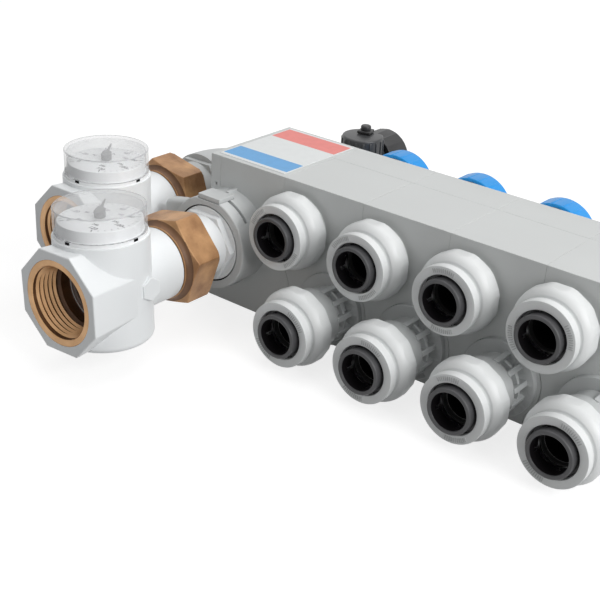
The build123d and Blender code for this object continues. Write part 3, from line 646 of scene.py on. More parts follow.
def labelFilm():
    # White film with the two fields printed on it, all of them a little cloudy.
    material, surface, make = newMaterial("labelFilm")
    low, high = boxOf("label_plate")
    where = make("ShaderNodeTexCoord").outputs["Object"]
    along = make("ShaderNodeSeparateXYZ", {0: where}).outputs
    cloud = noise(make, where, 300, 4)

    def between(socket, start, end):
        return worked(make, "COMPARE", along[socket], (start + end) / 2000, (end - start) / 2000)

    def tone(ink, darkest):
        return twoTone(make, cloud, [c * darkest for c in labelLook[ink]], labelLook[ink], 0.35, 0.65)

    across = between("X", low.x + labelLook["border"], high.x - labelLook["border"])
    colour = tone("film", 0.97)
    for field, ink in (("blueDepth", "blue"), ("redDepth", "red")):
        start, end = labelLook[field]
        mask = worked(make, "MULTIPLY", across, between("Y", low.y + start, low.y + end))
        mix = make("ShaderNodeMix", {"Factor": mask, "A": colour, "B": tone(ink, 0.94)}, data_type="RGBA")
        colour = mix.outputs["Result"]
    setInputs(surface, {"Base Color": colour, "Normal": bumped(make, cloud, 0.15, 0.0001), "Roughness": 0.4})
    return material


stand(easedCopy("label_plate", blockLook.labelEdge), "label_plate", [labelFilm()], "label_film")
print("label made")


# Push-fit caps: marked ring, concave neck and a nut with twelve facets

capLook = Look({
    "ringR": 15.26, "ringBack": -3.9, "ringRound": 0.3,
    "boreR": 11.43, "wall": 3.0, "cavityR": 12.3,
    "neck": (13.3, -4.2), "shoulder": (15.3, -6.1), "nutAt": -11.0,
    "across": 35.5, "cornerProud": -0.3, "length": 15.0, "facets": 12,
    "tickCount": 11, "tickStep": 4.2, "tickR": 13.35, "tickSize": (1.8, 0.36, 0.5),
    "arcs": ((-38, 142), (130, -52), (95, 275), (20, 200), (48, 228), (72, -105), (105, 285), (60, 240)),
    "boreRound": 0.3, "backRound": 0.15, "softEdge": 0.22,
})


def capShape():
    c = capLook
    nutR = c.across / 2 / cos(pi / c.facets) + c.cornerProud
    edge, inner, back = c.ringRound, c.boreRound, c.backRound
    outline = cornerRound(c.boreR + inner, -inner, inner, 180, 90)
    outline += cornerRound(c.ringR - edge, -edge, edge, 90, 0)
    outline += cornerRound(c.ringR - back, c.ringBack + back, back, 0, -90)
    outline += flareArc(c.neck, c.shoulder)
    outline += flareArc((nutR, c.nutAt), c.shoulder)[-2::-1]
    outline += [(nutR, -c.length), (c.cavityR, -c.length), (c.cavityR, -c.wall),
                (c.boreR, -c.wall)]
    body = turnedPiece("capShape", outline, 144, closed=True)
    prism = prismPiece("capFacets", c.across, c.facets, 180 / c.facets, -c.length - 1, 1)
    combine(body, prism, "INTERSECT")
    softened(body, c.softEdge, 24)
    return smooth(body, 14)


def ringTicks(middle):
    c = capLook
    first = middle - c.tickStep * (c.tickCount - 1) / 2
    ticks = barsRound("capTicks", c.tickCount, first, c.tickStep, c.tickR, 0.0, c.tickSize, tickShadePlastic)
    # Painted shade: every face of the ticks takes the darker grey.
    finishFaces(ticks, lambda reach, middle: True)
    return ticks


capMaster = capShape()
for outlet, arcs in zip(outlets, capLook.arcs):
    node = "outlet_cap_" + outlet
    parts = [copyOf(capMaster, "capBody")] + [ringTicks(middle) for middle in arcs]
    stand(joined(parts, node + "_moulding"), node, [capPlastic, tickShadePlastic], "cap_plastic", frontPlace(node))
bpy.data.objects.remove(capMaster)
print("caps made")


# Release collets

colletLook = Look({
    "proud": 2.9, "boreR": 8.29, "sleeveR": 10.2, "edge": 0.6, "lipR": 11.9, "lip": (-3.3, -4.4),
    "slots": 4, "slotWidth": 1.6, "slotFirst": 20,
})


def colletShape():
    c = colletLook
    edge = c.edge
    outline = cornerRound(c.boreR + edge, c.proud - edge, edge, 180, 90)
    outline += cornerRound(c.sleeveR - edge, c.proud - edge, edge, 90, 0)
    lipTop, lipFoot = c.lip
    outline += [(c.sleeveR, lipTop), (c.lipR, lipTop), (c.lipR, lipFoot), (c.boreR, lipFoot)]
    body = turnedPiece("colletShape", outline, 112, closed=True)
    for k in range(c.slots):
        half = c.slotWidth / 2
        slot = boxPiece("colletSlot", (0, -half, lipFoot - 1), (c.sleeveR + 2, half, -1))
        moved(slot, Matrix.Rotation(radians(c.slotFirst + 360 / c.slots * k), 4, "Z"))
        combine(body, slot, "DIFFERENCE")
    # Painted shade: the bore's faces behind the rounded front edge take the near-black finish.
    finishFaces(body, lambda reach, middle: middle.z < c.proud - edge and reach < c.boreR + 0.1)
    return smooth(body, 20)


colletMaster = colletShape()
for outlet in outlets:
    node = "collet_" + outlet
    stand(copyOf(colletMaster, node + "_sleeve"), node, [colletPlastic, recessShadePlastic], "collet_plastic",
          frontPlace(node, colletLook.proud))
bpy.data.objects.remove(colletMaster)
print("collets made")


# Lower stems: base flange, ribbed windows and the sleeve behind the cap

stemLook = Look({
    "front": 30.7, "depth": 7.0,
    "tubeR": 11.9, "floorR": 10.9, "socketR": 8.3, "sealR": 10.0, "sealDepth": 2.6, "wayR": 7.0, "socketDepth": 24.5,
    "flangeR": 17.6, "flange": 2.6,
    "sleeveR": 13.8, "sleeve": (12.0, 21.5),
    "ribR": 14.4, "ribWidth": 2.4, "ribCount": 6, "ribFirst": 75.0, "ribStep": -31.0, "ribSunk": 0.8,
    "crossR": 13.3, "crossAt": 7.2, "crossThickness": 1.3,
})


def windowSector():
    # Wedge over the ribbed side.
    s = stemLook
    last = s.ribFirst + s.ribStep * (s.ribCount - 1)
    return extrudedPiece("windowSector", [(0, 0)] + cornerRound(0, 0, 40, s.ribFirst, last, 10), 0, 20)


def stemShape():
    s = stemLook
    stop = s.front - s.socketDepth
    outline = [(s.wayR, -s.depth), (s.tubeR, -s.depth), (s.tubeR, 0), (s.flangeR, 0)]
    sealFoot = s.front - s.sealDepth
    sleeveLow, sleeveHigh = s.sleeve
    outline += roundTop(s.flangeR, s.flange, 0.5) + [(s.tubeR, s.flange), (s.tubeR, sleeveLow)]
    outline += roundFoot(s.sleeveR, sleeveLow, 0.4) + roundTop(s.sleeveR, sleeveHigh, 0.5)
    outline += [(s.tubeR, sleeveHigh), (s.tubeR, s.front), (s.sealR, s.front), (s.sealR, sealFoot),
                (s.socketR, sealFoot), (s.socketR, stop), (s.wayR, stop)]
    body = turnedPiece("stemBody", outline, 112, closed=True)
    window = ringPiece("stemWindow", s.ribR + 4, s.floorR, s.flange, sleeveLow, 0.01)
    combine(body, combine(window, windowSector(), "INTERSECT"), "DIFFERENCE")
    half = s.crossThickness / 2
    wall = ringPiece("stemWall", s.crossR, s.floorR - 0.6, s.crossAt - half, s.crossAt + half)
    combine(wall, windowSector(), "INTERSECT")
    ribLow, ribHigh = s.flange - 0.5, sleeveLow + s.ribSunk
    ribs = barsRound("stemRibs", s.ribCount, s.ribFirst, s.ribStep,
                     (s.floorR - s.ribSunk + s.ribR) / 2, (ribLow + ribHigh) / 2,
                     (s.ribR - s.floorR + s.ribSunk, s.ribWidth, ribHigh - ribLow), stemPlastic)
    softened(ribs, 0.3)
    return joined([smooth(body, 20), smooth(wall, 20), smooth(ribs, 20)], "stemShape")


stemMaster = stemShape()
stems = joined([moved(copyOf(stemMaster, "stem"), facingFront(middle.x, plateLow.y, middle.z))
                for middle in outletMiddles[4:]], "stem_mouldings")
bpy.data.objects.remove(stemMaster)
paintSocketShade(stems)
stand(stems, "lower_stems", [stemPlastic, recessShadePlastic], "stem_plastic")
print("stems made")


# Tees: own Z is the run's axis out of the mouth, stations count from the face that the collar sits on

teeLook = Look({
    "mouthAt": 109.3, "mouthAcross": 45.6, "rootAcross": 42.0, "bodyAt": 82.9, "mouthEdge": 0.7,
    "bodyR": 21.0, "bodyTop": 24.4, "bodyBottom": -24.0, "bodyRound": 3.0,
    "armR": 16.9, "armEnd": 50.4, "boreR": 12.6, "boreRound": 1.6, "fromNut": 33.8,
    "lugAcross": 9.6, "lugAt": 75.0, "lugHeight": 1.1, "lugOut": 21.5,
    "insertR": 19.3, "insertStepR": 17.6, "insertStep": 5.0, "insertLength": 20.0,
    "minorR": 15.15, "majorR": 16.3, "chamferR": 16.76, "pitch": 2.309, "threadTurns": 5.05, "ridge": 0.95,
    "maleR": 16.0, "maleLength": 9.9, "rootR": 14.6, "rootLength": 8.0, "pocketR": 3.4,
    "turns": {"front": 3.3, "rear": 0.8},
})
uprightTurn = Matrix.Translation((0, 0, teeLook.bodyAt)) @ Matrix.Rotation(radians(-90), 4, "X")


def teeShape():
    t = teeLook
    body = prismPiece("teeMouth", t.rootAcross, 8, 22.5, t.bodyAt, t.mouthAt, t.mouthAcross)
    softened(body, t.mouthEdge, 30, 3)
    outline = [(0, t.bodyBottom)] + roundFoot(t.bodyR, t.bodyBottom, t.bodyRound, 8)
    outline += roundTop(t.bodyR, t.bodyTop, 0.3) + [(0, t.bodyTop)]
    combine(body, moved(turnedPiece("teePost", outline, 128), uprightTurn), "UNION")
    combine(body, rodPiece("teeArm", t.armR, t.armEnd, t.bodyAt, 0.4, 128), "UNION")
    lug = softened(prismPiece("teeLug", t.lugAcross, 6, 90, 0, t.lugOut), 0.35)
    lugPlace = Matrix.Translation((0, t.lugHeight, t.lugAt)) @ Matrix.Rotation(radians(90), 4, "Y")
    combine(body, moved(lug, lugPlace), "UNION")
    lip, step, rootEnd = t.mouthAt - t.insertLength, t.mouthAt - t.insertStep, t.armEnd + t.rootLength
    bore = [(0, t.armEnd - 1), (t.rootR, t.armEnd - 1), (t.rootR, rootEnd), (t.boreR, rootEnd)]
    bore += cornerRound(t.boreR + t.boreRound, lip - t.boreRound, t.boreRound, 180, 90, 6)
    bore += [(t.insertStepR, lip), (t.insertStepR, step), (t.insertR, step), (t.insertR, t.mouthAt + 1),
             (0, t.mouthAt + 1)]
    combine(body, turnedPiece("teeBore", bore, 128), "DIFFERENCE")
    pocket = moved(rodPiece("teePocket", t.pocketR, 0, t.bodyTop + 1), uprightTurn)
    combine(body, pocket, "DIFFERENCE")
    # Painted shade and painted brass reflection on the bore's inner faces.
    finishFaces(body, lambda reach, middle: reach < t.boreR + 2.2 and abs(middle.y) < t.boreR + 2
                and t.armEnd - 2 < middle.z < t.mouthAt - 3)
    return smooth(body, 16)


def mouthInsertShape():
    t = teeLook
    front = t.mouthAt
    step, foot = front - t.insertStep, front - t.insertLength
    threadEnd = front - 2.2 - t.threadTurns * t.pitch
    outline = [(t.insertR, step), (t.insertStepR, step), (t.insertStepR, foot), (t.minorR, foot),
               (t.minorR, threadEnd - 1.2), (t.majorR, threadEnd), (t.majorR, front - 0.5),
               (t.chamferR, front), (t.insertR - 0.2, front), (t.insertR, front - 0.2)]
    ring = smooth(turnedPiece("mouthRing", outline, 144, closed=True), 30)
    # Painted shade: the ring's inner wall, behind and between the thread's ridges, takes the dark brass.
    finishFaces(ring, lambda reach, middle: reach < t.majorR + 0.1)
    thread = grown("mouthThread", screwThread, {
        "Radius": t.majorR, "Pitch": t.pitch, "Turns": t.threadTurns, "Ridge Radius": t.ridge,
        "Start Height": threadEnd + 0.4, "Material": cutBrass})
    return joined([ring, smooth(thread, 40)], "mouthInsert")


def unionInsertShape():
    t = teeLook
    end = t.armEnd - t.maleLength
    outline = [(t.boreR, end), (t.maleR - 0.5, end), (t.maleR, end + 0.5), (t.maleR, t.armEnd),
               (t.rootR, t.armEnd), (t.rootR, t.armEnd + t.rootLength),
               (t.boreR, t.armEnd + t.rootLength)]
    ring = smooth(turnedPiece("unionRing", outline, 96, closed=True), 30)
    thread = grown("unionThread", screwThread, {
        "Radius": t.maleR - 0.3, "Pitch": 1.8, "Turns": 4.0, "Ridge Radius": 0.6, "Start Height": end + 1.2,
        "Material": cutBrass})
    return joined([ring, smooth(thread, 40)], "unionInsert")


runs, turnedRuns = {}, {}
for side in ("front", "rear"):
    low, high = boxOf(side + "_union_nut")
    place = ((low.x + high.x) / 2, high.y + teeLook.fromNut, (low.z + high.z) / 2)
    runs[side] = facingFront(*place)
    turnedRuns[side] = facingFront(*place, teeLook.turns[side])
teeMaster = teeShape()
for side in ("front", "rear"):
    node = side + "_tee_body"
    stand(copyOf(teeMaster, node + "_moulding"), node, [whitePlastic, boreShadeAndReflection], "white_plastic", turnedRuns[side])
bpy.data.objects.remove(teeMaster)
inserts = [moved(shape(), turnedRuns[side]) for side in ("front", "rear")
           for shape in (mouthInsertShape, unionInsertShape)]
stand(joined(inserts, "brass_inserts"), "thread_inserts", [cutBrass, paintedShadeBrass], "brass")
print("tees made")


# Brass union nuts

nutLook = Look({
    "across": 39.0, "front": 50.1, "back": 31.8, "lipR": 17.3, "lip": 0.5, "grooveR": 19.3, "faceAt": 47.0,
    "cornerAt": 45.9, "backBevelR": 21.2, "backBevel": 1.0, "holeAt": 36.4, "boreR": 16.6, "holeR": 15.1,
    "wornEdge": 0.35, "corners": {"front": 12.0, "rear": 48.5},
})


def nutShape(corner):
    n = nutLook
    cornerR = n.across / 2 / cos(pi / 6) + 0.01
    outline = [(n.boreR, n.front), (n.lipR - 0.2, n.front), (n.lipR, n.front - 0.2)]
    outline += flareArc((n.lipR, n.front - n.lip), (n.grooveR, n.faceAt), 10)
    outline += [(cornerR, n.cornerAt), (cornerR, n.back + n.backBevel), (n.backBevelR, n.back),
                (n.holeR, n.back), (n.holeR, n.holeAt), (n.boreR, n.holeAt)]
    body = turnedPiece("nutBody", outline, 144, closed=True)
    combine(body, prismPiece("nutHex", n.across, 6, corner, n.back - 1, n.front + 1), "INTERSECT")
    softened(body, n.wornEdge, 22, 2, 1)
    # Painted shade on the flared front face between the lip and the groove.
    finishFaces(body, lambda reach, middle: n.lipR < reach < n.grooveR
                and n.faceAt - 0.1 < middle.z < n.front - n.lip, 2)
    return smooth(body, 14)


for side in ("front", "rear"):
    node = side + "_union_nut"
    piece = nutShape(nutLook.corners[side])
    piece.name = node + "_fine"
    stand(piece, node, [castBrass, wornBrass, paintedShadeBrass], "brass", runs[side])
print("nuts made")


# Tailpieces between the unions and the collar or the elbow

tailLook = Look({
    "top": 39.1, "flange": 2.6, "flangeR": 16.2, "neckR": 14.8, "hexAcross": 30.4, "hex": (17.5, 20.5),
    "hexCorner": 61.0, "spigotR": 18.2, "grooveR": 16.6, "foot": 6.0, "groove": (9.8, 11.8),
    "rearR": 15.0, "rearFoot": 13.5, "boreR": 12.6,
})


def tailShape(locked):
    t = tailLook
    hexLow, hexHigh = t.hex
    if locked:
        low, high = t.groove
        outline = [(t.boreR, t.foot), (t.spigotR, t.foot), (t.spigotR, low), (t.grooveR, low),
                   (t.grooveR, high), (t.spigotR, high)] + roundTop(t.spigotR, hexLow, 0.3)
    else:
        outline = [(t.boreR, t.rearFoot), (t.rearR, t.rearFoot), (t.rearR, hexLow)]
    under = t.top - t.flange
    outline += [(t.neckR, hexLow), (t.neckR, under), (t.flangeR, under), (t.flangeR, t.top),
                (t.boreR, t.top)]
    body = smooth(turnedPiece("tailBody", outline, 128, closed=True), 30)
    hexagon = prismPiece("tailHex", t.hexAcross, 6, t.hexCorner, hexLow, hexHigh)
    combine(hexagon, rodPiece("tailHexWay", t.neckR - 0.6, hexLow - 1, hexHigh + 1), "DIFFERENCE")
    softened(hexagon, 0.4, 30, 3)
    return joined([body, smooth(hexagon, 14)], "tailShape")


for side, locked in (("front", True), ("rear", False)):
    node = side + "_tailpiece"
    piece = tailShape(locked)
    piece.name = node + "_moulding"
    stand(piece, node, [whitePlastic if locked else collarPlastic], "white_plastic", runs[side])
print("tailpieces made")


# Collar on the block's face with its grip tab, fin and foot lug, and the locking clip

collarLook = Look({
    "outerR": 22.6, "length": 17.5, "boreR": 18.85, "floor": 3.0, "edge": 0.7,
    "spigotR": 12.4, "spigot": 7.5, "wayR": 10.0,
    "slot": (9.8, 11.8), "slotInnerR": 19.9, "slotX": 18.1, "slotInnerX": 16.6, "slotFoot": -8.6,
    "headHalf": 7.05, "headFloor": 20.9, "headBack": 6.7,
    "tab": ((-30.4, 3.9, 8.8), (-13.0, 17.2, 15.6)), "tabRound": 4.2, "tabDrop": 2.9, "tabEdge": 2.2,
    "fin": ((1.5, 20.0, 0.0), (3.2, 23.9, 7.0)),
    "lug": ((0.9, -24.0, 0.0), (6.9, -19.6, 8.0)),
})


def tabShape():
    # Grip tab with a round corner and soft edges; its top rises towards the collar.
    (x0, y0, z0), (x1, y1, z1) = collarLook.tab
    r = collarLook.tabRound
    outline = [(x1, y0), (x1, y1)] + cornerRound(x0 + r, y1 - collarLook.tabDrop - r, r, 100, 180, 8) + [(x0, y0)]
    return softened(extrudedPiece("collarTab", outline, z0, z1), collarLook.tabEdge, 40, 6)


def collarShape():
    c = collarLook
    outline = [(0, -c.spigot), (c.spigotR, -c.spigot), (c.spigotR, 0), (c.outerR, 0)]
    outline += roundTop(c.outerR, c.length, c.edge) + [(0, c.length)]
    body = turnedPiece("collarBody", outline, 144)
    combine(body, tabShape(), "UNION")
    combine(body, softened(boxPiece("collarFin", *c.fin), 0.25), "UNION")
    combine(body, softened(boxPiece("collarLug", *c.lug), 0.3), "UNION")
    combine(body, rodPiece("collarBore", c.boreR, c.floor, c.length + 1, 0, 144), "DIFFERENCE")
    combine(body, rodPiece("collarWay", c.wayR, -c.spigot - 1, c.length), "DIFFERENCE")
    low, high = c.slot
    arch = ringPiece("collarSlot", c.outerR + 1, c.slotInnerR, low, high, 0.01)
    combine(arch, boxPiece("slotKeep", (-c.slotX, 0, low - 1), (c.slotX, 30, high + 1)), "INTERSECT")
    combine(body, arch, "DIFFERENCE")
    for x0, x1 in ((-c.slotX, -c.slotInnerX), (c.slotInnerX, c.slotX)):
        leg = boxPiece("slotLeg", (x0, c.slotFoot, low), (x1, c.outerR + 1, high))
        combine(body, leg, "DIFFERENCE")
    head = boxPiece("headRoom", (-c.headHalf, c.headFloor, c.headBack),
                    (c.headHalf, c.outerR + 1, c.length + 1))
    combine(body, head, "DIFFERENCE")
    # Painted shade: the bore's wall above the floor takes the near-black finish.
    finishFaces(body, lambda reach, middle: abs(reach - c.boreR) < 0.1 and middle.z > c.floor)
    return smooth(body, 20)


collar = collarShape()
collar.name = "collar_moulding"
stand(collar, "front_collar", [collarPlastic, recessShadePlastic], "collar_plastic", runs["front"])
stand(easedCopy("locking_clip", blockLook.clipEdge), "locking_clip", [collarPlastic], "collar_plastic")
print("collar made")


# Rear elbow, a bent tube from the rear union into the rear bar

elbowLook = Look({
    "tubeR": 18.2, "boreR": 12.6, "bendR": 18.5, "startAt": 17.5, "socketR": 15.15, "socketDepth": 4.15,
    "shoulderR": 20.2, "shoulder": 4.0, "spigotR": 12.4, "spigot": 12.0, "wayR": 10.0,
    "steps": 24, "segments": 96,
})


def elbowShape():
    # Starts behind the rear union and ends at the block's left end.
    e = elbowLook
    startX, startY, axisZ = runs["rear"].translation
    startY -= e.startAt
    endX, endY = plateLow.x, middleOf("rear_end_block").y
    bend = e.bendR
    turns = [pi / 2 * i / e.steps for i in range(e.steps + 1)]
    stations = [((startX, startY), 0.0)]
    stations += [((startX + bend * (1 - cos(turn)), endY + bend * (sin(turn) - 1)), turn) for turn in turns]
    stations.append(((endX, endY), pi / 2))
    bm = bmesh.new()
    rows = []
    for radius, along in ((e.tubeR, stations), (e.boreR, stations[::-1])):
        for (x, y), turn in along:
            sides = [2 * pi * i / e.segments for i in range(e.segments)]
            rows.append([bm.verts.new((x - radius * cos(turn) * cos(side), y + radius * sin(turn) * cos(side),
                                       axisZ + radius * sin(side))) for side in sides])
    for i, row in enumerate(rows):
        for j in range(e.segments):
            bm.faces.new((row[j - 1], row[j], rows[i - 1][j], rows[i - 1][j - 1]))
    tube = fromBmesh("elbowTube", bm)
    alongRow = Matrix(((0, 0, 1, endX), (1, 0, 0, endY), (0, 1, 0, axisZ), (0, 0, 0, 1)))
    outline = [(e.wayR, -e.shoulder - 1), (e.boreR, -e.shoulder - 1), (e.boreR, -e.shoulder)]
    outline += roundFoot(e.shoulderR, -e.shoulder, 0.5)
    outline += [(e.shoulderR, 0), (e.spigotR, 0), (e.spigotR, e.spigot), (e.wayR, e.spigot)]
    shoulder = moved(turnedPiece("elbowShoulder", outline, 112, closed=True), alongRow)
    socket = rodPiece("elbowSocket", e.socketR, -e.socketDepth, 1)
    combine(tube, moved(socket, facingFront(startX, startY, axisZ)), "DIFFERENCE")
    return joined([smooth(tube, 20), smooth(shoulder, 20)], "elbow_moulding")


stand(elbowShape(), "rear_elbow", [collarPlastic], "collar_plastic")
print("elbow made")


# Gauges: white drum with a dial, pointer and clear cover, heights from the run's axis

gaugeLook = Look({
    "outerR": 20.1, "baseLow": 24.4, "baseHigh": 26.0, "dialR": 18.4, "dialTop": 31.2, "pocketR": 3.3,
    "pocketFoot": 1.0,
    "pinR": 0.5, "pinTop": 33.8, "notches": 4, "notchWidth": 2.6, "notchHeight": 1.2, "notchFirst": -86,
    "coverTop": 37.2, "wall": 1.2, "roof": 1.2, "coverRound": 0.5,
    "pointerLow": 33.9, "pointerThickness": 0.6, "hubR": 2.5, "hub": (31.5, 34.6), "pointerLength": 14.4,
    "pointerTail": 3.2, "pointerWidth": 4.4, "direction": 128.0,
    "rings": ((13.2, 3.2, ("0", "20", "40", "60", "80", "100", "120")),
              (9.0, 2.2, ("40", "80", "120", "160", "200", "240"))),
    "scaleFirst": 235.0, "scaleLast": -55.0, "tickOuterR": 17.4,
})


def gaugeBaseShape():
    g = gaugeLook
    outline = [(0, g.pocketFoot), (g.pocketR, g.pocketFoot), (g.pocketR, g.baseLow),
               (g.outerR, g.baseLow), (g.outerR, g.baseHigh), (g.dialR, g.baseHigh)]
    outline += roundTop(g.dialR, g.dialTop, 0.4) + [(g.pinR, g.dialTop), (g.pinR, g.pinTop), (0, g.pinTop)]
    body = turnedPiece("gaugeDrum", outline, 128)
    for k in range(g.notches):
        notch = boxPiece("gaugeNotch", (g.outerR - 1.2, -g.notchWidth / 2, g.baseHigh - g.notchHeight),
                         (g.outerR + 1, g.notchWidth / 2, g.baseHigh + 1))
        moved(notch, Matrix.Rotation(radians(g.notchFirst + 90 * k), 4, "Z"))
        combine(body, notch, "DIFFERENCE")
    # Painted shade: the faces of the notches take the near-black finish.
    finishFaces(body, lambda reach, middle: g.dialR < reach < g.outerR - 0.1
                and g.baseHigh - g.notchHeight - 0.05 < middle.z < g.baseHigh - 0.05)
    return smooth(body, 20)


def textPiece(words, size):
    curve = bpy.data.curves.new("dialNumber", "FONT")
    curve.body = words
    curve.size = size
    curve.align_x = "CENTER"
    curve.align_y = "CENTER"
    curve.extrude = 0.03
    curve.resolution_u = 3
    holder = bpy.data.objects.new("dialNumber", curve)
    scene.collection.objects.link(holder)
    bpy.context.view_layer.update()
    mesh = bpy.data.meshes.new_from_object(holder.evaluated_get(bpy.context.evaluated_depsgraph_get()))
    bpy.data.objects.remove(holder)
    return meshObject("dialNumber", mesh)


def dialPrint():
    g = gaugeLook
    count = len(g.rings[0][2])
    sweep = g.scaleLast - g.scaleFirst
    height = g.dialTop + 0.03
    marks = []
    for radius, size, numbers in g.rings:
        for k, words in enumerate(numbers):
            angle = radians(g.scaleFirst + sweep * k / (len(numbers) - 1))
            place = Matrix.Translation((radius * cos(angle), radius * sin(angle), height))
            marks.append(moved(textPiece(words, size), place))
    long = barsRound("longTicks", count, g.scaleFirst, sweep / (count - 1), g.tickOuterR - 1.1, height,
                     (2.2, 0.4, 0.06), printInk)
    short = barsRound("shortTicks", (count - 1) * 5 + 1, g.scaleFirst, sweep / (count - 1) / 5,
                      g.tickOuterR - 0.6, height, (1.2, 0.22, 0.06), printInk)
    return joined(marks + [long, short], "dialPrint")


def coverShape():
    g = gaugeLook
    inner = g.outerR - g.wall
    r = g.coverRound
    ceiling = g.coverTop - g.roof
    outline = [(g.outerR, g.baseHigh)] + roundTop(g.outerR, g.coverTop, r, 6)
    outline += [(0, g.coverTop), (0, ceiling), (inner, ceiling), (inner, g.baseHigh)]
    cover = turnedPiece("gaugeCover", outline, 144, closed=True)
    # Painted rim line: the cover's foot and the rounding of its top edge take the darker, denser clear finish.
    finishFaces(cover, lambda reach, middle: middle.z < g.baseHigh + 0.01
                or reach > g.outerR - r and middle.z > g.coverTop - r)
    return smooth(cover, 30)


def pointerShape():
    # Broad plate on a hub, drawn out to a fine needle.
    g = gaugeLook
    half, tail = g.pointerWidth / 2, g.pointerTail
    low, high = g.pointerLow, g.pointerLow + g.pointerThickness
    side = [(-tail, half * 0.7), (-tail + 0.6, half), (2.6, half), (3.6, half * 0.55), (4.6, 0.7)]
    outline = side + [(g.pointerLength, 0.3), (g.pointerLength, -0.3)] + [(x, -y) for x, y in reversed(side)]
    blade = extrudedPiece("pointerBlade", outline, low, high)
    foot, top = g.hub
    inner = g.pinR + 0.05
    hubOutline = [(inner, foot), (g.hubR, foot), (g.hubR, top - 0.4), (g.hubR - 0.4, top), (0, top),
                  (0, g.pinTop + 0.1), (inner, g.pinTop + 0.1)]
    hub = turnedPiece("pointerHub", hubOutline, 64, closed=True)
    piece = joined([softened(blade, 0.05, 30, 1), smooth(hub, 20)], "pointerShape")
    return moved(piece, Matrix.Rotation(radians(g.direction), 4, "Z"))


for side in ("front", "rear"):
    place = turnedRuns[side] @ uprightTurn
    for shape, name, finishes, slotName in (
            (gaugeBaseShape(), "_gauge_base", [dialPlastic, recessShadePlastic], "white_plastic"),
            (coverShape(), "_gauge_cover", [clearPlastic, clearPaintedRim], "clear_plastic"),
            (pointerShape(), "_gauge_pointer", [pointerPaint], "pointer_metal")):
        shape.name = side + name + "_fine"
        stand(shape, side + name, finishes, slotName, place)
    marks = dialPrint()
    marks.name = side + "_dial_print"
    settle(marks, place, bodyOf(side + "_gauge_base"), [printInk], "black_plastic")
print("gauges made")


# Blue hand caps with grip ribs

handCapLook = Look({
    "outerR": 16.9, "length": 12.0, "wall": 1.6, "roof": 2.4, "round": 1.4,
    "ribs": 18, "ribSize": (1.0, 1.6, 9.0), "ribProud": 0.16,
})


def handCapShape():
    h = handCapLook
    inner, ceiling = h.outerR - h.wall, h.length - h.roof
    outline = [(h.outerR - 0.3, 0), (h.outerR, 0.3)] + roundTop(h.outerR, h.length, h.round, 8)
    outline += [(0, h.length), (0, ceiling), (inner, ceiling), (inner, 0)]
    shell = smooth(turnedPiece("handCapShell", outline, 128, closed=True), 24)
    ribs = barsRound("handCapRibs", h.ribs, 0, 360 / h.ribs, h.outerR + h.ribProud - h.ribSize[0] / 2,
                     1 + h.ribSize[2] / 2, h.ribSize, bluePlastic)
    softened(ribs, 0.35, 30, 3)
    return joined([shell, smooth(ribs, 30)], "handCapShape")


handCapMaster = handCapShape()
for k in range(1, 5):
    node = f"hand_cap_{k}"
    stand(copyOf(handCapMaster, node + "_moulding"), node, [bluePlastic], "blue_plastic", backPlace(node))
bpy.data.objects.remove(handCapMaster)
print("hand caps made")


# Drain valve: an upright drum with ribs round it, a two-step spindle and a screw cap with broad facets

drainLook = Look({
    "drumR": 10.8, "drumX": -1.0, "drumAt": 15.8, "drumTop": 16.6, "drumFoot": -13.0, "drumEnd": 23.7,
    "drumRound": 1.0, "ribs": 18, "ribSize": (1.2, 1.2, 24.0), "ribMiddle": 3.2,
    "pipeR": 9.4, "spigot": 6.0, "threadR": 11.4, "threadEnd": 37.0,
    "boreR": 6.5, "spindleR": 2.5, "spindleFoot": 5.3,
    "baseAcross": 7.2, "baseTop": 18.4, "headR": 2.7, "headTop": 20.9,
    "capR": 14.1, "capLength": 16.0, "capFacets": 16, "capAcross": 27.6, "capRound": 1.6, "capBoreR": 11.7,
    "roof": 3.0,
})
bodyLow, bodyHigh = boxOf("drain_body")
knobMiddle = middleOf("drain_knob")
drainAxis = ((bodyLow.x + bodyHigh.x) / 2, (bodyLow.z + bodyHigh.z) / 2)
drainBack = bodyHigh.y - drainLook.threadEnd
drainPlace = facingBack(drainAxis[0], drainBack, drainAxis[1])
spindlePlace = Matrix.Translation((knobMiddle.x, knobMiddle.y, drainAxis[1]))


def drainBodyShape():
    # Own Z out of the back; the drum stands along own Y.
    d = drainLook
    drumPlace = Matrix.Translation((d.drumX, 0, d.drumAt)) @ Matrix.Rotation(radians(-90), 4, "X")
    drum = rodPiece("drainDrum", d.drumR, d.drumFoot, d.drumTop, d.drumRound, 96)
    ribs = barsRound("drainRibs", d.ribs, 8, 360 / d.ribs, d.drumR - 0.1, d.ribMiddle,
                     d.ribSize, drainPlastic)
    softened(ribs, 0.3)
    for piece, short in ((drum, 0), (ribs, 0.5)):
        keep = boxPiece("drumKeep", (-20, -20, short), (20, 20, d.drumEnd - short))
        combine(moved(piece, drumPlace), keep, "INTERSECT")
    combine(drum, rodPiece("drainPipe", d.pipeR, -d.spigot, d.drumEnd - 1), "UNION")
    combine(drum, rodPiece("drainNeck", d.threadR - 0.6, d.drumEnd - 2, d.threadEnd, 0.3), "UNION")
    combine(drum, rodPiece("drainWay", d.boreR, -d.spigot - 1, d.threadEnd + 1), "DIFFERENCE")
    thread = grown("drainThread", screwThread, {
        "Radius": d.threadR - 0.5, "Pitch": 2.0, "Turns": 4.5, "Ridge Radius": 0.5,
        "Start Height": d.drumEnd + 2.5, "Material": drainPlastic})
    hole = rodPiece("spindleHole", d.spindleR + 0.1, d.spindleFoot - 0.5, d.drumTop + 1)
    combine(drum, moved(hole, drainPlace.inverted() @ spindlePlace), "DIFFERENCE")
    return joined([smooth(drum, 24), smooth(ribs, 30), smooth(thread, 40)], "drain_moulding")


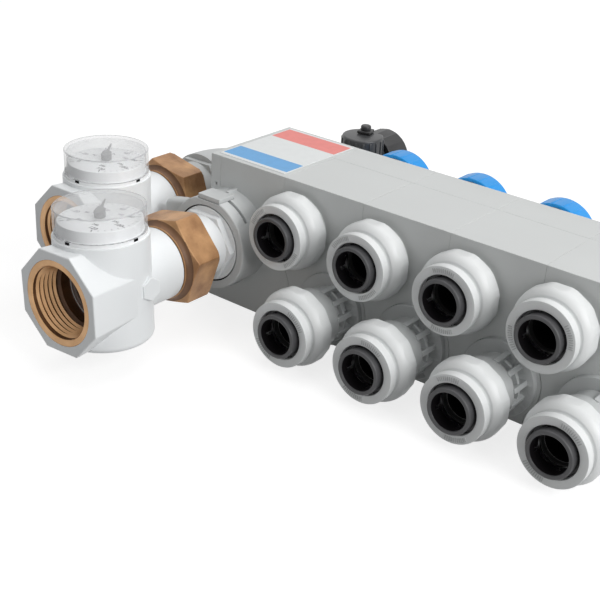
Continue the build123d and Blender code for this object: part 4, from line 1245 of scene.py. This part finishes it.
def spindleShape():
    # Own Z up from the drain valve's axis.
    d = drainLook
    base = softened(prismPiece("spindleBase", d.baseAcross, 4, 60, d.drumTop + 0.2, d.baseTop), 0.5, 30, 3)
    head = rodPiece("spindleHead", d.headR, d.baseTop - 0.5, d.headTop, 0.9, 64)
    stem = rodPiece("spindleStem", d.spindleR, d.spindleFoot, d.drumTop + 0.5)
    return joined([smooth(base, 20), smooth(head, 24), smooth(stem, 24)], "spindle_moulding")


def drainCapShape():
    d = drainLook
    ceiling = d.capLength - d.roof
    outline = [(d.capR - 0.6, 0), (d.capR, 0.6)] + roundTop(d.capR, d.capLength, d.capRound, 8)
    outline += [(0, d.capLength), (0, ceiling), (d.capBoreR, ceiling), (d.capBoreR, 0)]
    shell = turnedPiece("drainCapShell", outline, 112, closed=True)
    facets = prismPiece("drainCapFacets", d.capAcross, d.capFacets, 0, -1, d.capLength + 1)
    combine(shell, facets, "INTERSECT")
    softened(shell, 0.25, 18)
    return smooth(shell, 14)


stand(drainBodyShape(), "drain_body", [drainPlastic], "drain_plastic", drainPlace)
stand(spindleShape(), "drain_knob", [blackPlastic], "black_plastic", spindlePlace)
piece = drainCapShape()
piece.name = "drain_cap_fine"
stand(piece, "drain_cap", [blackPlastic], "black_plastic", backPlace("drain_cap"))
print("drain valve made")


# Solids that stay, with their finishes

plainFinishes = {
    "tie_rods": steelMetal, "tie_rod_nuts": steelMetal, "valve_inserts": insertPlastic, "grip_rings": steelMetal,
    "seals": sealRubber,
}
for node, material in plainFinishes.items():
    for slot in nodes[node].material_slots:
        slot.material = material


# Pale floor, white background and soft light

room = Look({
    "floorSize": 6.0, "floorDepth": 0.02, "floorColour": (0.35, 0.35, 0.35), "floorGlow": 0.78,
    "worldLight": 0.30,
    "topLight": {"energy": 7.5, "size": 1.2, "from": (-0.1, 0.3, 1.3)},
    "rightLight": {"energy": 17.0, "size": 0.9, "from": (1.3, -0.15, 0.75)},
})


def seenRays(make):
    # 1 where the camera, a reflection or clear plastic sees the surface.
    path = make("ShaderNodeLightPath").outputs
    either = worked(make, "MAXIMUM", path["Is Camera Ray"], path["Is Glossy Ray"])
    return worked(make, "MAXIMUM", either, path["Is Transmission Ray"])


def emptyTree(owner):
    owner.use_nodes = True
    owner.node_tree.nodes.clear()
    return maker(owner.node_tree)


paleFloor = bpy.data.materials.new("paleFloor")
make = emptyTree(paleFloor)
matt = make("ShaderNodeBsdfDiffuse", {"Color": (*room.floorColour, 1)})
glow = make("ShaderNodeEmission", {"Strength": worked(make, "MULTIPLY", seenRays(make), room.floorGlow)})
both = make("ShaderNodeAddShader", {0: matt.outputs[0], 1: glow.outputs[0]})
make("ShaderNodeOutputMaterial", {"Surface": both.outputs[0]})

half = room.floorSize / 2
floorHeight = cadBox[0].z
floor = boxPiece("floor", (-half, -half, floorHeight - room.floorDepth), (half, half, floorHeight))
floor.data.materials.append(paleFloor)

scene.world = bpy.data.worlds.new("whiteRoom")
make = emptyTree(scene.world)
brightness = ranged(make, seenRays(make), room.worldLight, 1.0)
sky = make("ShaderNodeBackground", {"Color": (1, 1, 1, 1), "Strength": brightness})
make("ShaderNodeOutputWorld", {"Surface": sky.outputs[0]})

for name in ("topLight", "rightLight"):
    lamp = room[name]
    data = bpy.data.lights.new(name, "AREA")
    data.energy = lamp["energy"]
    data.size = lamp["size"]
    light = bpy.data.objects.new(name, data)
    scene.collection.objects.link(light)
    light.location = lamp["from"]
    light.rotation_euler = (-Vector(lamp["from"])).to_track_quat("-Z", "Y").to_euler()
scene.view_settings.view_transform = "Standard"
print("room lit")
